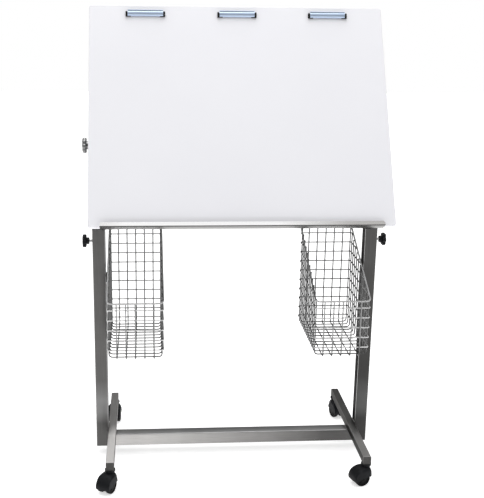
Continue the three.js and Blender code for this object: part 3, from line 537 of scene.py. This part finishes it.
tube_of("crossbar", "x", FRAME_TUBE, "base")
tube_of("tie_rail", "x", SLIM_TUBE, "mast")
for side_name, side in SIDES:
    upright_steel = STEEL_ALONG["z"] if side < 0 else RIGHT_UPRIGHT
    tube_of(f"upright_{side_name}", "z", FRAME_TUBE, "base", upright_steel)
    tube_of(f"inner_tube_{side_name}", "z", INNER_TUBE, "mast")
    foot_steel = LEFT_FOOT if side < 0 else STEEL_ALONG["y"]
    tube_of(f"foot_{side_name}", "y", SLIM_TUBE, "base", foot_steel)
    low, high = box_mm(f"inner_tube_{side_name}")
    lid_low = [*(low[:2] + LID_INSET), high[2] - LID_THICK]
    lid_high = [*(high[:2] - LID_INSET), high[2] - LID_SUNK]
    lid = block("z", lid_low, lid_high, 1.2, 0.4)
    piece(f"inner_tube_lid_{side_name}", [lid], STEEL_ALONG["z"], "mast")
print("tubes redrawn")

# %% [markdown]
# ## Weld beads
# The crossbar is welded to the uprights and feet. A bead could be a row of small balls; it is one wire
# here, whose radius ripples, because that stays a single closed skin.

# %% weld beads
BEAD = brushed("weld_bead", (1, 1, 1), 0.3, 0.42)
BEAD_SIDES, BEAD_RIPPLE, BEAD_SHORT = 8, 2.6, 3


def bead(start, end, flat=(1, 0, 0), radius=1.6):
    """A straight bead: its radius follows the size of a sine along it and falls off at both ends."""
    start, end = np.asarray(start, float), np.asarray(end, float)
    length = np.linalg.norm(end - start)
    t = np.linspace(0, 1, int(length * 3))
    path = start + t[:, None] * (end - start)
    grid = wire(path, 1.0, flat, sides=BEAD_SIDES)[0].reshape(len(t), BEAD_SIDES, 3)
    ripple = radius * (0.82 + 0.18 * np.abs(np.sin(np.pi * t * length / BEAD_RIPPLE)))
    ripple *= np.minimum(1, 8 * np.minimum(t, 1 - t) + 0.3)
    return shell(path[:, None] + (grid - path[:, None]) * ripple[:, None, None])


bar_low, bar_high = box_mm("crossbar")
for side_name, side in SIDES:
    foot_low, foot_high = box_mm(f"foot_{side_name}")
    face = side * np.abs([bar_low[0], bar_high[0]]).max()
    inner = side * np.abs([foot_low[0], foot_high[0]]).min()
    near, far = bar_low[1] + BEAD_SHORT, bar_high[1] - BEAD_SHORT
    bottom, top = bar_low[2] + BEAD_SHORT, bar_high[2] - BEAD_SHORT
    beads = [bead([face, y, bottom], [face, y, top]) for y in (bar_low[1], bar_high[1])]
    for x, z in ((face, bar_low[2]), (inner, foot_low[2]), (face, foot_high[2])):
        beads.append(bead([x, near, z], [x, far, z]))
    piece(f"weld_beads_{side_name}", beads, BEAD, "base")
print("weld beads laid")

# %% [markdown]
# ## Caps, bushes and clamps
# The open ends of the feet are plugged with grey caps, and the collar bushes guide the inner tubes.
# Small ridged clamps hold the baskets to the uprights. Bushes and glides are right as CAD solids and
# only need a finish; caps and clamps are redrawn, since soft edges and ridges show on them.

# %% caps, bushes, clamps
dress(BLACK, "collar_bush_left", "collar_bush_right")
dress(GREY_CAP, "glide_left", "glide_right")
CAP_HEAD, SPIGOT_START, SPIGOT_INSET = 3, 1, np.array([2, 0, 2])
CLAMP_RIDGES, RIDGE_GAP, CLAMP_CORE_INSET = 6, 0.7, 2
for side_name, _ in SIDES:
    for place in ("front", "rear"):
        node = f"foot_cap_{place}_{side_name}"
        low, high = box_mm(node)
        head_low, head_high = low.copy(), high.copy()
        spigot_low, spigot_high = low + SPIGOT_INSET, high - SPIGOT_INSET
        if place == "front":
            head_high[1], spigot_low[1] = low[1] + CAP_HEAD, low[1] + SPIGOT_START
        else:
            head_low[1], spigot_high[1] = high[1] - CAP_HEAD, high[1] - SPIGOT_START
        shells = [block("y", head_low, head_high, 2, 0.8), block("y", spigot_low, spigot_high, 2, 0.3)]
        piece(f"{node}_plug", shells, GREY_CAP, "base", [node])
    node = f"basket_clamp_{side_name}"
    low, high = box_mm(node)
    ridges = np.linspace(low[2], high[2], CLAMP_RIDGES + 1)
    core_inset = np.array([0, CLAMP_CORE_INSET, 0])
    shells = [block("x", low + core_inset, high - core_inset, 1.5, 0.5)]
    for bottom, top in zip(ridges[:-1] + RIDGE_GAP, ridges[1:] - RIDGE_GAP):
        shells.append(block("x", [*low[:2], bottom], [*high[:2], top], 1.2, 0.6))
    piece(f"{node}_ridged", shells, GREY_CAP, "base", [node])
print("caps and clamps made")

# %% [markdown]
# ## Baskets
# A welded basket has three families of wire: lengthwise wires that run down the front, under and up
# the back; cross wires that form a U from side rim to side rim; and level wires round the walls.
# A thicker rim wire closes the top. A Wireframe modifier on five plates would put all of them in one
# plane; here each family lies one wire thickness inside the next, as welded wire does.

# %% basket wires
WIRE_R, RIM_R = 2.0, 2.6
LENGTHWISE, CROSS_GAPS, LEVEL_PITCH = 7, 11, 32
LENGTHWISE_BEND, CROSS_BEND, LEVEL_BEND, RIM_BEND = 10, 11, 6, 16
CROSS_FROM_FRONT, CROSS_FROM_BACK = 12, 8
RING_CLEAR, TOP_CLEAR = 6, 8


def basket(side_name):
    """All wires of one basket, from the boxes of its CAD nets."""
    places = ("outer_side", "inner_side", "front", "back")
    walls = [box_mm(f"basket_{side_name}_{place}") for place in places]
    low = np.min([wall[0] for wall in walls], axis=0)
    high = np.max([wall[1] for wall in walls], axis=0)
    left, right = low[0] + WIRE_R, high[0] - WIRE_R
    near, far, floor = low[1] + WIRE_R, high[1] - WIRE_R, low[2] + WIRE_R
    front_top, back_top = walls[2][1][2] - RIM_R, walls[3][1][2] - RIM_R
    slope = (back_top - front_top) / (far - near)
    step = 2 * WIRE_R
    made, level = [], []
    for x in np.linspace(left, right, LENGTHWISE)[1:-1]:
        path = [[x, near, front_top], [x, near, floor], [x, far, floor], [x, far, back_top]]
        made.append(wire(bent(path, LENGTHWISE_BEND), WIRE_R, (1, 0, 0)))
    for y in np.linspace(near + CROSS_FROM_FRONT, far - CROSS_FROM_BACK, CROSS_GAPS + 1):
        rim = front_top + slope * (y - near)
        a, b, bottom = left + step, right - step, floor + step
        path = [[a, y, rim], [a, y, bottom], [b, y, bottom], [b, y, rim]]
        made.append(wire(bent(path, CROSS_BEND), WIRE_R, (0, 1, 0)))
    for z in np.arange(floor + LEVEL_PITCH - step, back_top - TOP_CLEAR, LEVEL_PITCH):
        a, b = near + step, far - step
        if z < front_top - RING_CLEAR:
            path = [[left, a, z], [right, a, z], [right, b, z], [left, b, z]]
            ring = bent(path, LEVEL_BEND, closed=True)
            level.append(wire(ring, WIRE_R, (0, 0, 1), closed=True))
        else:
            start = near + (z - front_top) / slope
            path = [[left, start, z], [left, b, z], [right, b, z], [right, start, z]]
            level.append(wire(bent(path, LEVEL_BEND), WIRE_R, (0, 0, 1)))
    front_rim = [[left, near, front_top], [right, near, front_top]]
    back_rim = [[right, far, back_top], [left, far, back_top]]
    lean = np.cross([1, 0, 0], [0, far - near, back_top - front_top])
    path = bent(front_rim + back_rim, RIM_BEND, closed=True)
    rim = wire(path, RIM_R, lean, closed=True, sides=10)
    return made, level, [rim]


for side_name, _ in SIDES:
    nets = [f"basket_{side_name}_{p}" for p in ("outer_side", "inner_side", "front", "back", "floor")]
    bent_wires, level_wires, rim_wire = basket(side_name)
    made = piece(f"basket_{side_name}_bent_wires", bent_wires, WIRE, "base", nets)
    piece(f"basket_{side_name}_level_wires", level_wires, LEVEL_WIRE, "base")
    piece(f"basket_{side_name}_rim_wire", rim_wire, RIM_WIRE, "base")
    print(made.name, "has", len(made.data.polygons), "faces")

# %% [markdown]
# ## Board and ledge
# The board is one laminated panel, right as the CAD has it. The ledge is folded from thin sheet round
# its lower edge. It could be a plane with Solidify; here its profile is a bent line given a thickness,
# because the lip's upper corners are then rounded off in the same step. It is drawn with the board
# upright and then leaned back.

# %% board frame and ledge shape
LEAN = math.radians(-29)
BACK_Y, FACE_Y, BOTTOM_Z, TOP_Z = -85, -105, -287, 413


def on_board(points):
    """Points drawn about the tilt axis with the board upright, leaned back to its place."""
    turned = points.copy()
    turned[..., 1] = points[..., 1] * math.cos(LEAN) - points[..., 2] * math.sin(LEAN) + AXIS_Y
    turned[..., 2] = points[..., 1] * math.sin(LEAN) + points[..., 2] * math.cos(LEAN) + AXIS_Z
    return turned


def leaned(shells):
    """Shells drawn on the upright board, leaned back with it."""
    return [(on_board(points), quads, ends) for points, quads, ends in shells]


def sheet_ring(line, thick):
    """A bent line (points of two axes) as a closed strip: one face out, the other back."""
    along = np.gradient(line, axis=0)
    along /= np.linalg.norm(along, axis=1, keepdims=True)
    aside = np.stack([-along[:, 1], along[:, 0]], -1) * thick / 2
    return np.concatenate([line + aside, (line - aside)[::-1]])


dress(LAMINATE, "board_panel")
SHEET, FIT_GAP, LEDGE_DEEP, FOLD_BEND = 1.2, 0.3, 10, 1.6
LEDGE_HALF, LIP_TOP, FLANGE_TOP, LIP_ROUND = 415, BOTTOM_Z + 12, BOTTOM_Z + 25, 6
floor_z = BOTTOM_Z - FIT_GAP - SHEET / 2
flange_y = BACK_Y + FIT_GAP + SHEET / 2
lip_y = FACE_Y - LEDGE_DEEP - SHEET / 2
profile = [[0, flange_y, FLANGE_TOP], [0, flange_y, floor_z], [0, lip_y, floor_z], [0, lip_y, LIP_TOP]]
line = bent(profile, FOLD_BEND, steps=6)[:, 1:]
line = np.concatenate([line[:-1], np.linspace(line[-2], line[-1], 10)[1:]])
ends_in = LIP_ROUND * (1 - np.cos(np.linspace(0, np.pi / 2, 8)))
x_rows = np.concatenate([-LEDGE_HALF + ends_in, LEDGE_HALF - ends_in[::-1]])
from_end = LEDGE_HALF - np.abs(x_rows)
short = np.maximum(LIP_ROUND - from_end, 0)
drop = LIP_ROUND - np.sqrt(np.maximum(LIP_ROUND**2 - short**2, 0))
ring = np.repeat(sheet_ring(line, SHEET)[None], len(x_rows), 0)
lip = ring[..., 0] < FACE_Y - LEDGE_DEEP + 0.1
ring[..., 1] = np.where(lip, np.minimum(ring[..., 1], (LIP_TOP - drop)[:, None]), ring[..., 1])
print("ledge", 2 * LEDGE_HALF, "mm long, lip", LIP_TOP - floor_z, "mm high")

# %% [markdown]
# ## Ledge finish
# The lip's face carries a painted reflection of the white board, so it is the lightest steel of the rack;
# towards the right end, and a little at the left, the painted reflection is dimmer. A painted shade
# darkens the fold under it. Height up the board is y sin + z cos of the lean, and the sides that face
# back or down keep a plain steel grey without the painted reflection.

# %% ledge finish
FOLD_HEIGHTS = (-0.2872, -0.2858)
DIMMER_RIGHT, DIMMER_LEFT, DIMMER_LEFT_SHARE = (0.1, 0.32), (-0.34, -0.4), 0.3
ledge_steel = Finish("ledge_steel", Metallic=1.0)
up_board = ledge_steel.along("Y") * -math.sin(LEAN) + ledge_steel.along("Z") * math.cos(LEAN)
up_board = up_board - MM * (AXIS_Z * math.cos(LEAN) - AXIS_Y * math.sin(LEAN))
# Painted shade: the fold under the lip is near black.
fold = ledge_steel.spread(up_board, *FOLD_HEIGHTS)
smear = ledge_steel.noise(30, 4, (0.2, 1, 1))
across = ledge_steel.along("X")
# The painted reflection is dimmer towards the right end and a little at the left.
dimmer_left = DIMMER_LEFT_SHARE * ledge_steel.spread(across, *DIMMER_LEFT)
dimmer = ledge_steel.spread(across, *DIMMER_RIGHT) + dimmer_left
# Painted reflection of the white board on the lip's face.
reflection_tone = ledge_steel.mix(smear, grey(0.88), grey(0.97))
face_tone = ledge_steel.mix(dimmer, reflection_tone, grey(0.48, STEEL_WARM))
hidden_tone = ledge_steel.mix(smear, grey(0.1, STEEL_WARM), grey(0.22, STEEL_WARM))
# Faces that face back or down keep plain steel, without the painted reflection.
behind = ledge_steel.spread(ledge_steel.facing("Y"), 0.2, 0.6)
under = ledge_steel.spread(ledge_steel.facing("Z"), -0.4, -0.8)
lip_tone = ledge_steel.mix(fold, grey(0.05), face_tone)
ledge_steel.feed("Base Color", ledge_steel.mix(behind + under - behind * under, lip_tone, hidden_tone))
ledge_steel.feed("Roughness", 0.2 + 0.12 * smear)
folded = leaned([shell(lay("x", x_rows, ring))])
made = piece("ledge_folded", folded, ledge_steel.material, "board", ["ledge"])
print(made.name, "has", len(made.data.polygons), "faces")

# %% [markdown]
# ## Brackets, bolts and screws
# Behind the board, two brackets carry it on the pivot bolts. Both are right as CAD solids. The screws
# are too small for the CAD, but they show from behind, so each head is a turned profile.

# %% brackets, bolts and screws
dress(STEEL_ALONG["z"], "board_bracket_left", "board_bracket_right")
dress(BOLT, "pivot_bolt_left", "pivot_bolt_right")


BRACKET_FACE, FLANGE_FACE, FLANGE_SCREW_Z = BACK_Y + 4.3, BACK_Y + 1.5, BOTTOM_Z + 15
BRACKET_SCREWS = ((388, -65), (388, 65), (402, -40), (402, 40))


def screw(x, y, z, radius=4.2, height=2.4):
    """A domed head on an X-Z face: sine heights over cosine radii, with a round driver hole in the dome."""
    dome = np.linspace(0, np.pi / 2, 6)
    along = np.concatenate([[0], 0.5 + (height - 0.5) * np.sin(dome[:-1]), [height, height - 1.2]])
    radii = np.concatenate([[radius], radius * np.cos(dome[:-1] * 0.72), [1.7, 1.6]])
    return spun("y", (x, z), y + along, radii, 24)


heads = []
for _, side in SIDES:
    heads += [screw(side * x, BRACKET_FACE, z) for x, z in BRACKET_SCREWS]
heads += [screw(x, FLANGE_FACE, FLANGE_SCREW_Z, 3.6, 2.0) for x in np.linspace(-380, 380, 5)]
piece("board_screws", leaned(heads), BOLT, "board")
print(len(heads), "screws behind the board")

# %% [markdown]
# ## Clips
# A sprung lever is a strip of plated sheet with a rolled jaw and a raised thumb tab. It could be a
# bent plane; its side view is a smooth curve through a few points here, so that the light runs along
# it are placed by those points. Black rubber corners guard both ends of the jaw, and a near-black rod
# in the crease paints the crease's shadow.

# %% clips
CLIP_HALF, JAW_Z, CLIP_PITCH = 60, TOP_Z - 14 - 21, 280
LEVER_LOWER = [(-1.2, 3.0), (-0.4, 5.4), (2, 7.8), (5.5, 9.3), (9, 9.9)]
LEVER_UPPER = [(11.4, 9.6), (12.8, 9.2), (14.2, 9.9), (15.8, 11.2)]
LEVER_HALF, LEVER_SHEET, LUG_X = CLIP_HALF - 6.3, 1.4, 42
CLIP_FACE = FACE_Y - 0.3


def curve_through(points, steps=8):
    """A Catmull-Rom curve: each stretch blends the points on both sides of it."""
    points = np.asarray(points, float)
    padded = np.concatenate([2 * points[:1] - points[1:2], points, 2 * points[-1:] - points[-2:-1]])
    before, here, there, after = (padded[i : len(padded) - 3 + i, None] for i in range(4))
    t = np.linspace(0, 1, steps, endpoint=False)[None, :, None]
    bend = 2 * here + (there - before) * t + (2 * before - 5 * here + 4 * there - after) * t**2
    bend += (3 * here - before - 3 * there + after) * t**3
    return np.concatenate([bend.reshape(-1, 2) / 2, points[-1:]])


def clip_block(x_low, x_high, lift, heights, radius, soft):
    """A block on the board's face: from one lift off it to another, between heights over the jaw."""
    low = [x_low, CLIP_FACE - lift[1], JAW_Z + heights[0]]
    high = [x_high, CLIP_FACE - lift[0], JAW_Z + heights[1]]
    return block("x", low, high, radius, soft)


def clip_shells(middle):
    """Lever, rubber and the near-black rod of painted crease shadow of one clip about its middle, on the
    upright board.
    """
    curve = curve_through(LEVER_LOWER + LEVER_UPPER)
    line = np.stack([CLIP_FACE - curve[:, 1], JAW_Z + curve[:, 0]], -1)
    ring = np.repeat(sheet_ring(line, LEVER_SHEET)[None], 2, 0)
    lever = [shell(lay("x", [middle - LEVER_HALF, middle + LEVER_HALF], ring))]
    for x in (middle - LUG_X, middle + LUG_X):
        lever.append(clip_block(x - 1, x + 1, (1.9, 9.3), (10.2, 15.6), 2.4, 0.2))
    rubber = [clip_block(middle - 58, middle + 58, (0, 1.6), (1.5, 4.5), 0.6, 0.3)]
    for end in (-1, 1):
        outer = middle + end * CLIP_HALF
        rubber.append(clip_block(outer, outer - end * 6, (0, 9.5), (-2, 12.5), 1.8, 1.0))
        rubber.append(clip_block(outer, outer - end * 16, (0, 5), (-2, -0.3), 0.8, 0.5))
    reach = [middle - LEVER_HALF + 1, middle + LEVER_HALF - 1]
    # A painted shadow: a near-black rod lies in the lever's crease.
    crease = spun("x", (CLIP_FACE - 10.2, JAW_Z + 13), reach, [0.8, 0.8], 12)
    return lever, rubber, [crease]


for number in (1, 2, 3):
    lever, rubber, crease = clip_shells((number - 2) * CLIP_PITCH)
    clip, body = f"clip_{number}", f"clip_lever_{number}"
    piece(f"{clip}_spring_lever", leaned(lever), CLIP_PLATE, body, [f"{clip}_lever"])
    piece(f"{clip}_jaw_rubber", leaned(rubber), RUBBER, body, [f"{clip}_pad"])
    # The rod carries the painted crease shadow.
    piece(f"{clip}_crease_shade_rod", leaned(crease), CREASE_SHADE, body)
    dress(CHROME, f"{clip}_base")
print("three clips made")

# %% [markdown]
# ## Knobs
# Star knobs clamp the height, plated knobs the tilt. Cutting hollows out of a disc would leave sharp
# rims, so the outline is a circle whose radius falls between the lobes. It is carried along the axis
# and drawn in by a quarter round at both faces. The stud carries a ridged thread.

# %% knobs


def lobed(side, radius, scallop, lobes, start, end, soft, z):
    """Radius minus a smooth hollow between lobes, with both edges rounded."""
    angle = np.linspace(0, 2 * np.pi, 96, endpoint=False)
    outline = radius - scallop * ((1 - np.cos(lobes * angle)) / 2) ** 2
    turn = np.linspace(0, np.pi / 2, 6)
    rise, fall = soft * (1 - np.cos(turn)), soft * (1 - np.sin(turn))
    inset = np.concatenate([[radius * 0.5], fall, rise, [radius * 0.5]])
    along = np.concatenate([[start], start + rise, end - fall, [end + 0.8]])
    reach = np.maximum(outline[None] - inset[:, None], 2)
    circle = np.stack([np.cos(angle), np.sin(angle)], -1)[None] * reach[..., None]
    return shell(lay("x", side * along, circle + np.array([AXIS_Y, z])))


def thread(side, start, end, radius, z, pitch=1.25):
    """A stud whose radius rises and falls once per pitch."""
    along = np.arange(start, end, pitch / 4)
    radii = radius - 0.3 * np.abs(((along / pitch) % 1) * 2 - 1)
    return spun("x", (AXIS_Y, z), side * along, radii, 20)


STAR_NECK_X, STAR_NECK_R = np.array([459.5, 460.5, 468, 470]), [9.4, 10.4, 10.8, 10.8]
TILT_NECK_X, TILT_NECK_R = np.array([446.4, 447.4, 461]), [11, 12, 12.4]
for side_name, side in SIDES:
    knob_z = joints[f"height_knob_{side_name}_turn"]["pos_m"][2] / MM
    shells = [
        lobed(side, 20.5, 4.5, 6, 468.5, 480.2, 3, knob_z),
        spun("x", (AXIS_Y, knob_z), side * STAR_NECK_X, STAR_NECK_R, 32),
    ]
    node = f"height_knob_{side_name}"
    piece(f"{node}_star", shells, BLACK, node, [node])
    piece(f"{node}_stud", [thread(side, 446.4, 460, 4, knob_z)], BOLT, node)
    shells = [
        lobed(side, 23.5, 3, 8, 460.3, 473.5, 5, AXIS_Z),
        spun("x", (AXIS_Y, AXIS_Z), side * TILT_NECK_X, TILT_NECK_R, 32),
    ]
    node = f"tilt_knob_{side_name}"
    piece(f"{node}_lobed", shells, KNOB_CHROME, node, [node])
print("four knobs made")

# %% [markdown]
# ## Castors
# Each castor has a hooded housing that turns on a stem, and two wheels. Sculpting a ball would give the
# hood's swell but not its even wall, so the hood is a thin section carried round the axle; the boss,
# stem and wheels are turned profiles. All are drawn with the stem at the origin.

# %% castor shapes
TRAIL, AXLE_Z, WHEEL_R, HOOD_HALF = 21, 25, 25, 23
HOOD_START, HOOD_END = 10, 195
SQUARE_HALF, SQUARE_CUT, SHOULDER_ANGLE, SHOULDER_FADE = 35.5, 28.6, 103, 16
CHEEK_R, CHEEK_HUB, CHEEK_STEPS = 27.4, 3, 14
WHEEL_GAP, WHEEL_HALF, RIBS = 7.3, 7.25, 5


def hood():
    """A crowned strip round the axle. Below the stem its radius follows a rounded square, 1 / (cos^4 +
    sin^4)^(1/4) wide, which makes an upright front wall and a shoulder under the collar."""
    x = np.linspace(-HOOD_HALF, HOOD_HALF, 41)
    angle = np.linspace(HOOD_START, HOOD_END, 60)[:, None]
    turn = np.radians(angle)
    crown = WHEEL_R + 3.6 - 2.0 * (np.abs(x) / HOOD_HALF) ** 5
    square = SQUARE_HALF / (np.cos(turn) ** 4 + np.sin(turn) ** 4) ** 0.25 - SQUARE_CUT
    swell = np.clip(square, 0, None) * 0.5 * (1 - np.tanh((angle - SHOULDER_ANGLE) / SHOULDER_FADE))
    outside = crown + swell * np.clip(1 - (np.abs(x) / HOOD_HALF) ** 4, 0, 1)
    inside = np.full_like(outside, WHEEL_R + 0.9)
    radius = np.concatenate([outside, inside], 1)
    grid = np.empty(radius.shape + (3,))
    grid[..., 0] = np.concatenate([x, x[::-1]])
    grid[..., 1] = -TRAIL + radius * np.cos(turn)
    grid[..., 2] = AXLE_Z + radius * np.sin(turn)
    return shell(grid)


def cheek(hand):
    """The hood's side: a shallow dish from the hub out to the rim, over the upper half of a wheel."""
    turn = np.radians(np.linspace(HOOD_START, HOOD_END, 40))[:, None]
    out = np.linspace(CHEEK_R, CHEEK_HUB, CHEEK_STEPS)
    radius = np.concatenate([out, out[::-1]])
    dish = HOOD_HALF - 0.7 * (out / CHEEK_R) ** 6
    side = hand * np.concatenate([dish, np.full(CHEEK_STEPS, HOOD_HALF - 1)])
    grid = np.empty((len(turn), len(radius), 3))
    grid[..., 0] = side
    grid[..., 1] = -TRAIL + radius * np.cos(turn)
    grid[..., 2] = AXLE_Z + radius * np.sin(turn)
    return shell(grid)


def housing():
    """Hood, two cheeks, turned boss and stem, round web, axle, and a rounded block that joins them."""
    boss_z = [34, 52, 56, 58, 61, 61.6, 62, 67, 67.6]
    boss_r = [6.5, 6.5, 10, 14, 15, 15, 16, 16, 15.4]
    return [
        hood(),
        cheek(-1),
        cheek(1),
        spun("z", (0, 0), boss_z, boss_r, 40),
        spun("z", (0, 0), [66, 84.6, 85.6], [5.5, 5.5, 4.8], 24),
        spun("x", (-TRAIL, AXLE_Z), [-6.9, -6.2, 6.2, 6.9], [17, 18, 18, 17], 40),
        spun("x", (-TRAIL, AXLE_Z), [-21, 21], [4.4, 4.4], 20),
        block("x", [-6.9, -30, 29], [6.9, 2, 54], 5, 0.8),
    ]


def wheel(hand):
    """A rim with a rounded tread, a hollow side, five ribs and a hub cap."""
    middle = hand * (WHEEL_GAP + WHEEL_HALF)
    half_x = np.array([-WHEEL_HALF, -WHEEL_HALF, -6.6, -5, -5, -6.6, -7.1, -6.5, -5, 0])
    half_r = np.array([4.8, 9, 9.8, 10.4, 18.6, 19.8, 21.6, 23.8, 24.75, 25])
    side_x = np.concatenate([half_x, -half_x[-2::-1]])
    side_r = np.concatenate([half_r, half_r[-2::-1]])
    shells = [
        spun("x", (-TRAIL, AXLE_Z), middle + side_x, side_r, 48, loop=True),
        spun("x", (-TRAIL, AXLE_Z), middle + hand * np.array([6, 6.9, 7.2]), [8, 7.2, 4.2], 32),
    ]
    points, quads, ends = block("x", [middle - 6.2, -1.1, 9.4], [middle + 6.2, 1.1, 19.4], 0.6, 0.4)
    for angle in np.arange(RIBS) * 2 * np.pi / RIBS:
        turned = points.copy()
        turned[:, 1] = points[:, 1] * np.cos(angle) - points[:, 2] * np.sin(angle) - TRAIL
        turned[:, 2] = points[:, 1] * np.sin(angle) + points[:, 2] * np.cos(angle) + AXLE_Z
        shells.append((turned, quads, ends))
    return shells


print("one castor:", sum(len(quads) for _, quads, _ in housing() + 2 * wheel(1)), "quads")

# %% [markdown]
# ## Castors in place
# The four castors rest at different angles. Turning four objects would do, but a finished piece keeps
# its object at the origin, so the points themselves are turned and moved.

# %% castors in place
REST_TURN = {"front_left": -28, "front_right": -70, "rear_left": -6, "rear_right": 17}


def turned_to(shells, corner):
    """Turns shells about the stem by the rest angle and moves them to the castor's corner."""
    angle = math.radians(REST_TURN[corner])
    spot = np.array(joints[f"castor_{corner}_swivel"]["pos_m"]) / MM * [1, 1, 0]
    spin = np.array([[np.cos(angle), -np.sin(angle), 0], [np.sin(angle), np.cos(angle), 0], [0, 0, 1]])
    return [(points @ spin.T + spot, quads, ends) for points, quads, ends in shells]


for corner in REST_TURN:
    body = f"castor_{corner}"
    piece(f"{body}_hood", turned_to(housing(), corner), BLACK, body, [f"{body}_housing"])
    for side_name, side in SIDES:
        node = f"{body}_wheel_{side_name}"
        piece(f"{node}_tread", turned_to(wheel(side), corner), WHEEL, node, [node])
print("four castors made")

# %% [markdown]
# ## Floor
# A pale floor stands for the studio. It glows a little, because a cut-out on white has a floor with no
# shade of its own, and a floor lit only by lamps would turn grey far from them.

# %% floor
FLOOR_CORNERS = [(-9, -6, 0), (9, -6, 0), (9, 12, 0), (-9, 12, 0)]
floor_mesh = bpy.data.meshes.new("studio_floor")
floor_mesh.from_pydata(FLOOR_CORNERS, [], [(0, 1, 2, 3)])
floor = bpy.data.objects.new("studio_floor", floor_mesh)
bpy.context.collection.objects.link(floor)
FLOOR = Finish("studio_floor", Specular_IOR_Level=0.1, Roughness=0.9)
FLOOR.feed("Base Color", FLOOR.mix(FLOOR.noise(2, 2), grey(0.86), grey(0.9)))
FLOOR.feed("Emission Color", grey(1.0))
FLOOR.feed("Emission Strength", 0.55)
floor_mesh.materials.append(FLOOR.material)
print("floor laid:", floor.name)

# %% [markdown]
# ## Light
# The surround is bright overhead and darker towards the horizon, so steel that faces the reader looks
# dark and the ledge looks bright. Lamps alone would give the tubes hard spots; three large soft discs
# only add a little shape. The eye sees plain white behind the rack.

# %% light
scene = bpy.context.scene
scene.view_settings.view_transform = "Standard"
world = bpy.data.worlds.new("studio")
scene.world = world
world.use_nodes = True
sky = world.node_tree
bounce = sky.nodes["Background"]
backdrop = sky.nodes.new("ShaderNodeBackground")
bounce.inputs["Color"].default_value = (1, 1, 1, 1)
backdrop.inputs["Color"].default_value = (1, 1, 1, 1)
facing = sky.nodes.new("ShaderNodeSeparateXYZ")
height = sky.nodes.new("ShaderNodeMapRange")
for name, value in {"From Min": 0.48, "From Max": 0.7, "To Min": 0.24, "To Max": 1.15}.items():
    height.inputs[name].default_value = value
sky.links.new(sky.nodes.new("ShaderNodeTexCoord").outputs["Generated"], facing.inputs[0])
sky.links.new(facing.outputs["Z"], height.inputs["Value"])
sky.links.new(height.outputs[0], bounce.inputs["Strength"])
backdrop.inputs["Strength"].default_value = 1.0
choose = sky.nodes.new("ShaderNodeMixShader")
sky.links.new(sky.nodes.new("ShaderNodeLightPath").outputs["Is Camera Ray"], choose.inputs[0])
sky.links.new(bounce.outputs[0], choose.inputs[1])
sky.links.new(backdrop.outputs[0], choose.inputs[2])
sky.links.new(choose.outputs[0], sky.nodes["World Output"].inputs["Surface"])


def softbox(name, spot, aim, size, power):
    """A round area light at a spot, turned to an aim, unseen by the camera."""
    light = bpy.data.lights.new(name, "AREA")
    light.shape = "DISK"
    light.size = size
    light.energy = power
    made = bpy.data.objects.new(name, light)
    made.location = spot
    made.rotation_euler = (Vector(aim) - Vector(spot)).to_track_quat("-Z", "Y").to_euler()
    made.visible_camera = False
    bpy.context.collection.objects.link(made)


softbox("key", (-2.4, -3.2, 3.0), (0, 0, 0.9), 2.2, 12)
softbox("fill", (2.8, -2.6, 1.8), (0, 0, 0.8), 1.6, 6)
softbox("top", (0, 0.2, 4.2), (0, 0, 0), 3.0, 68)
print("lights:", len(bpy.data.lights))
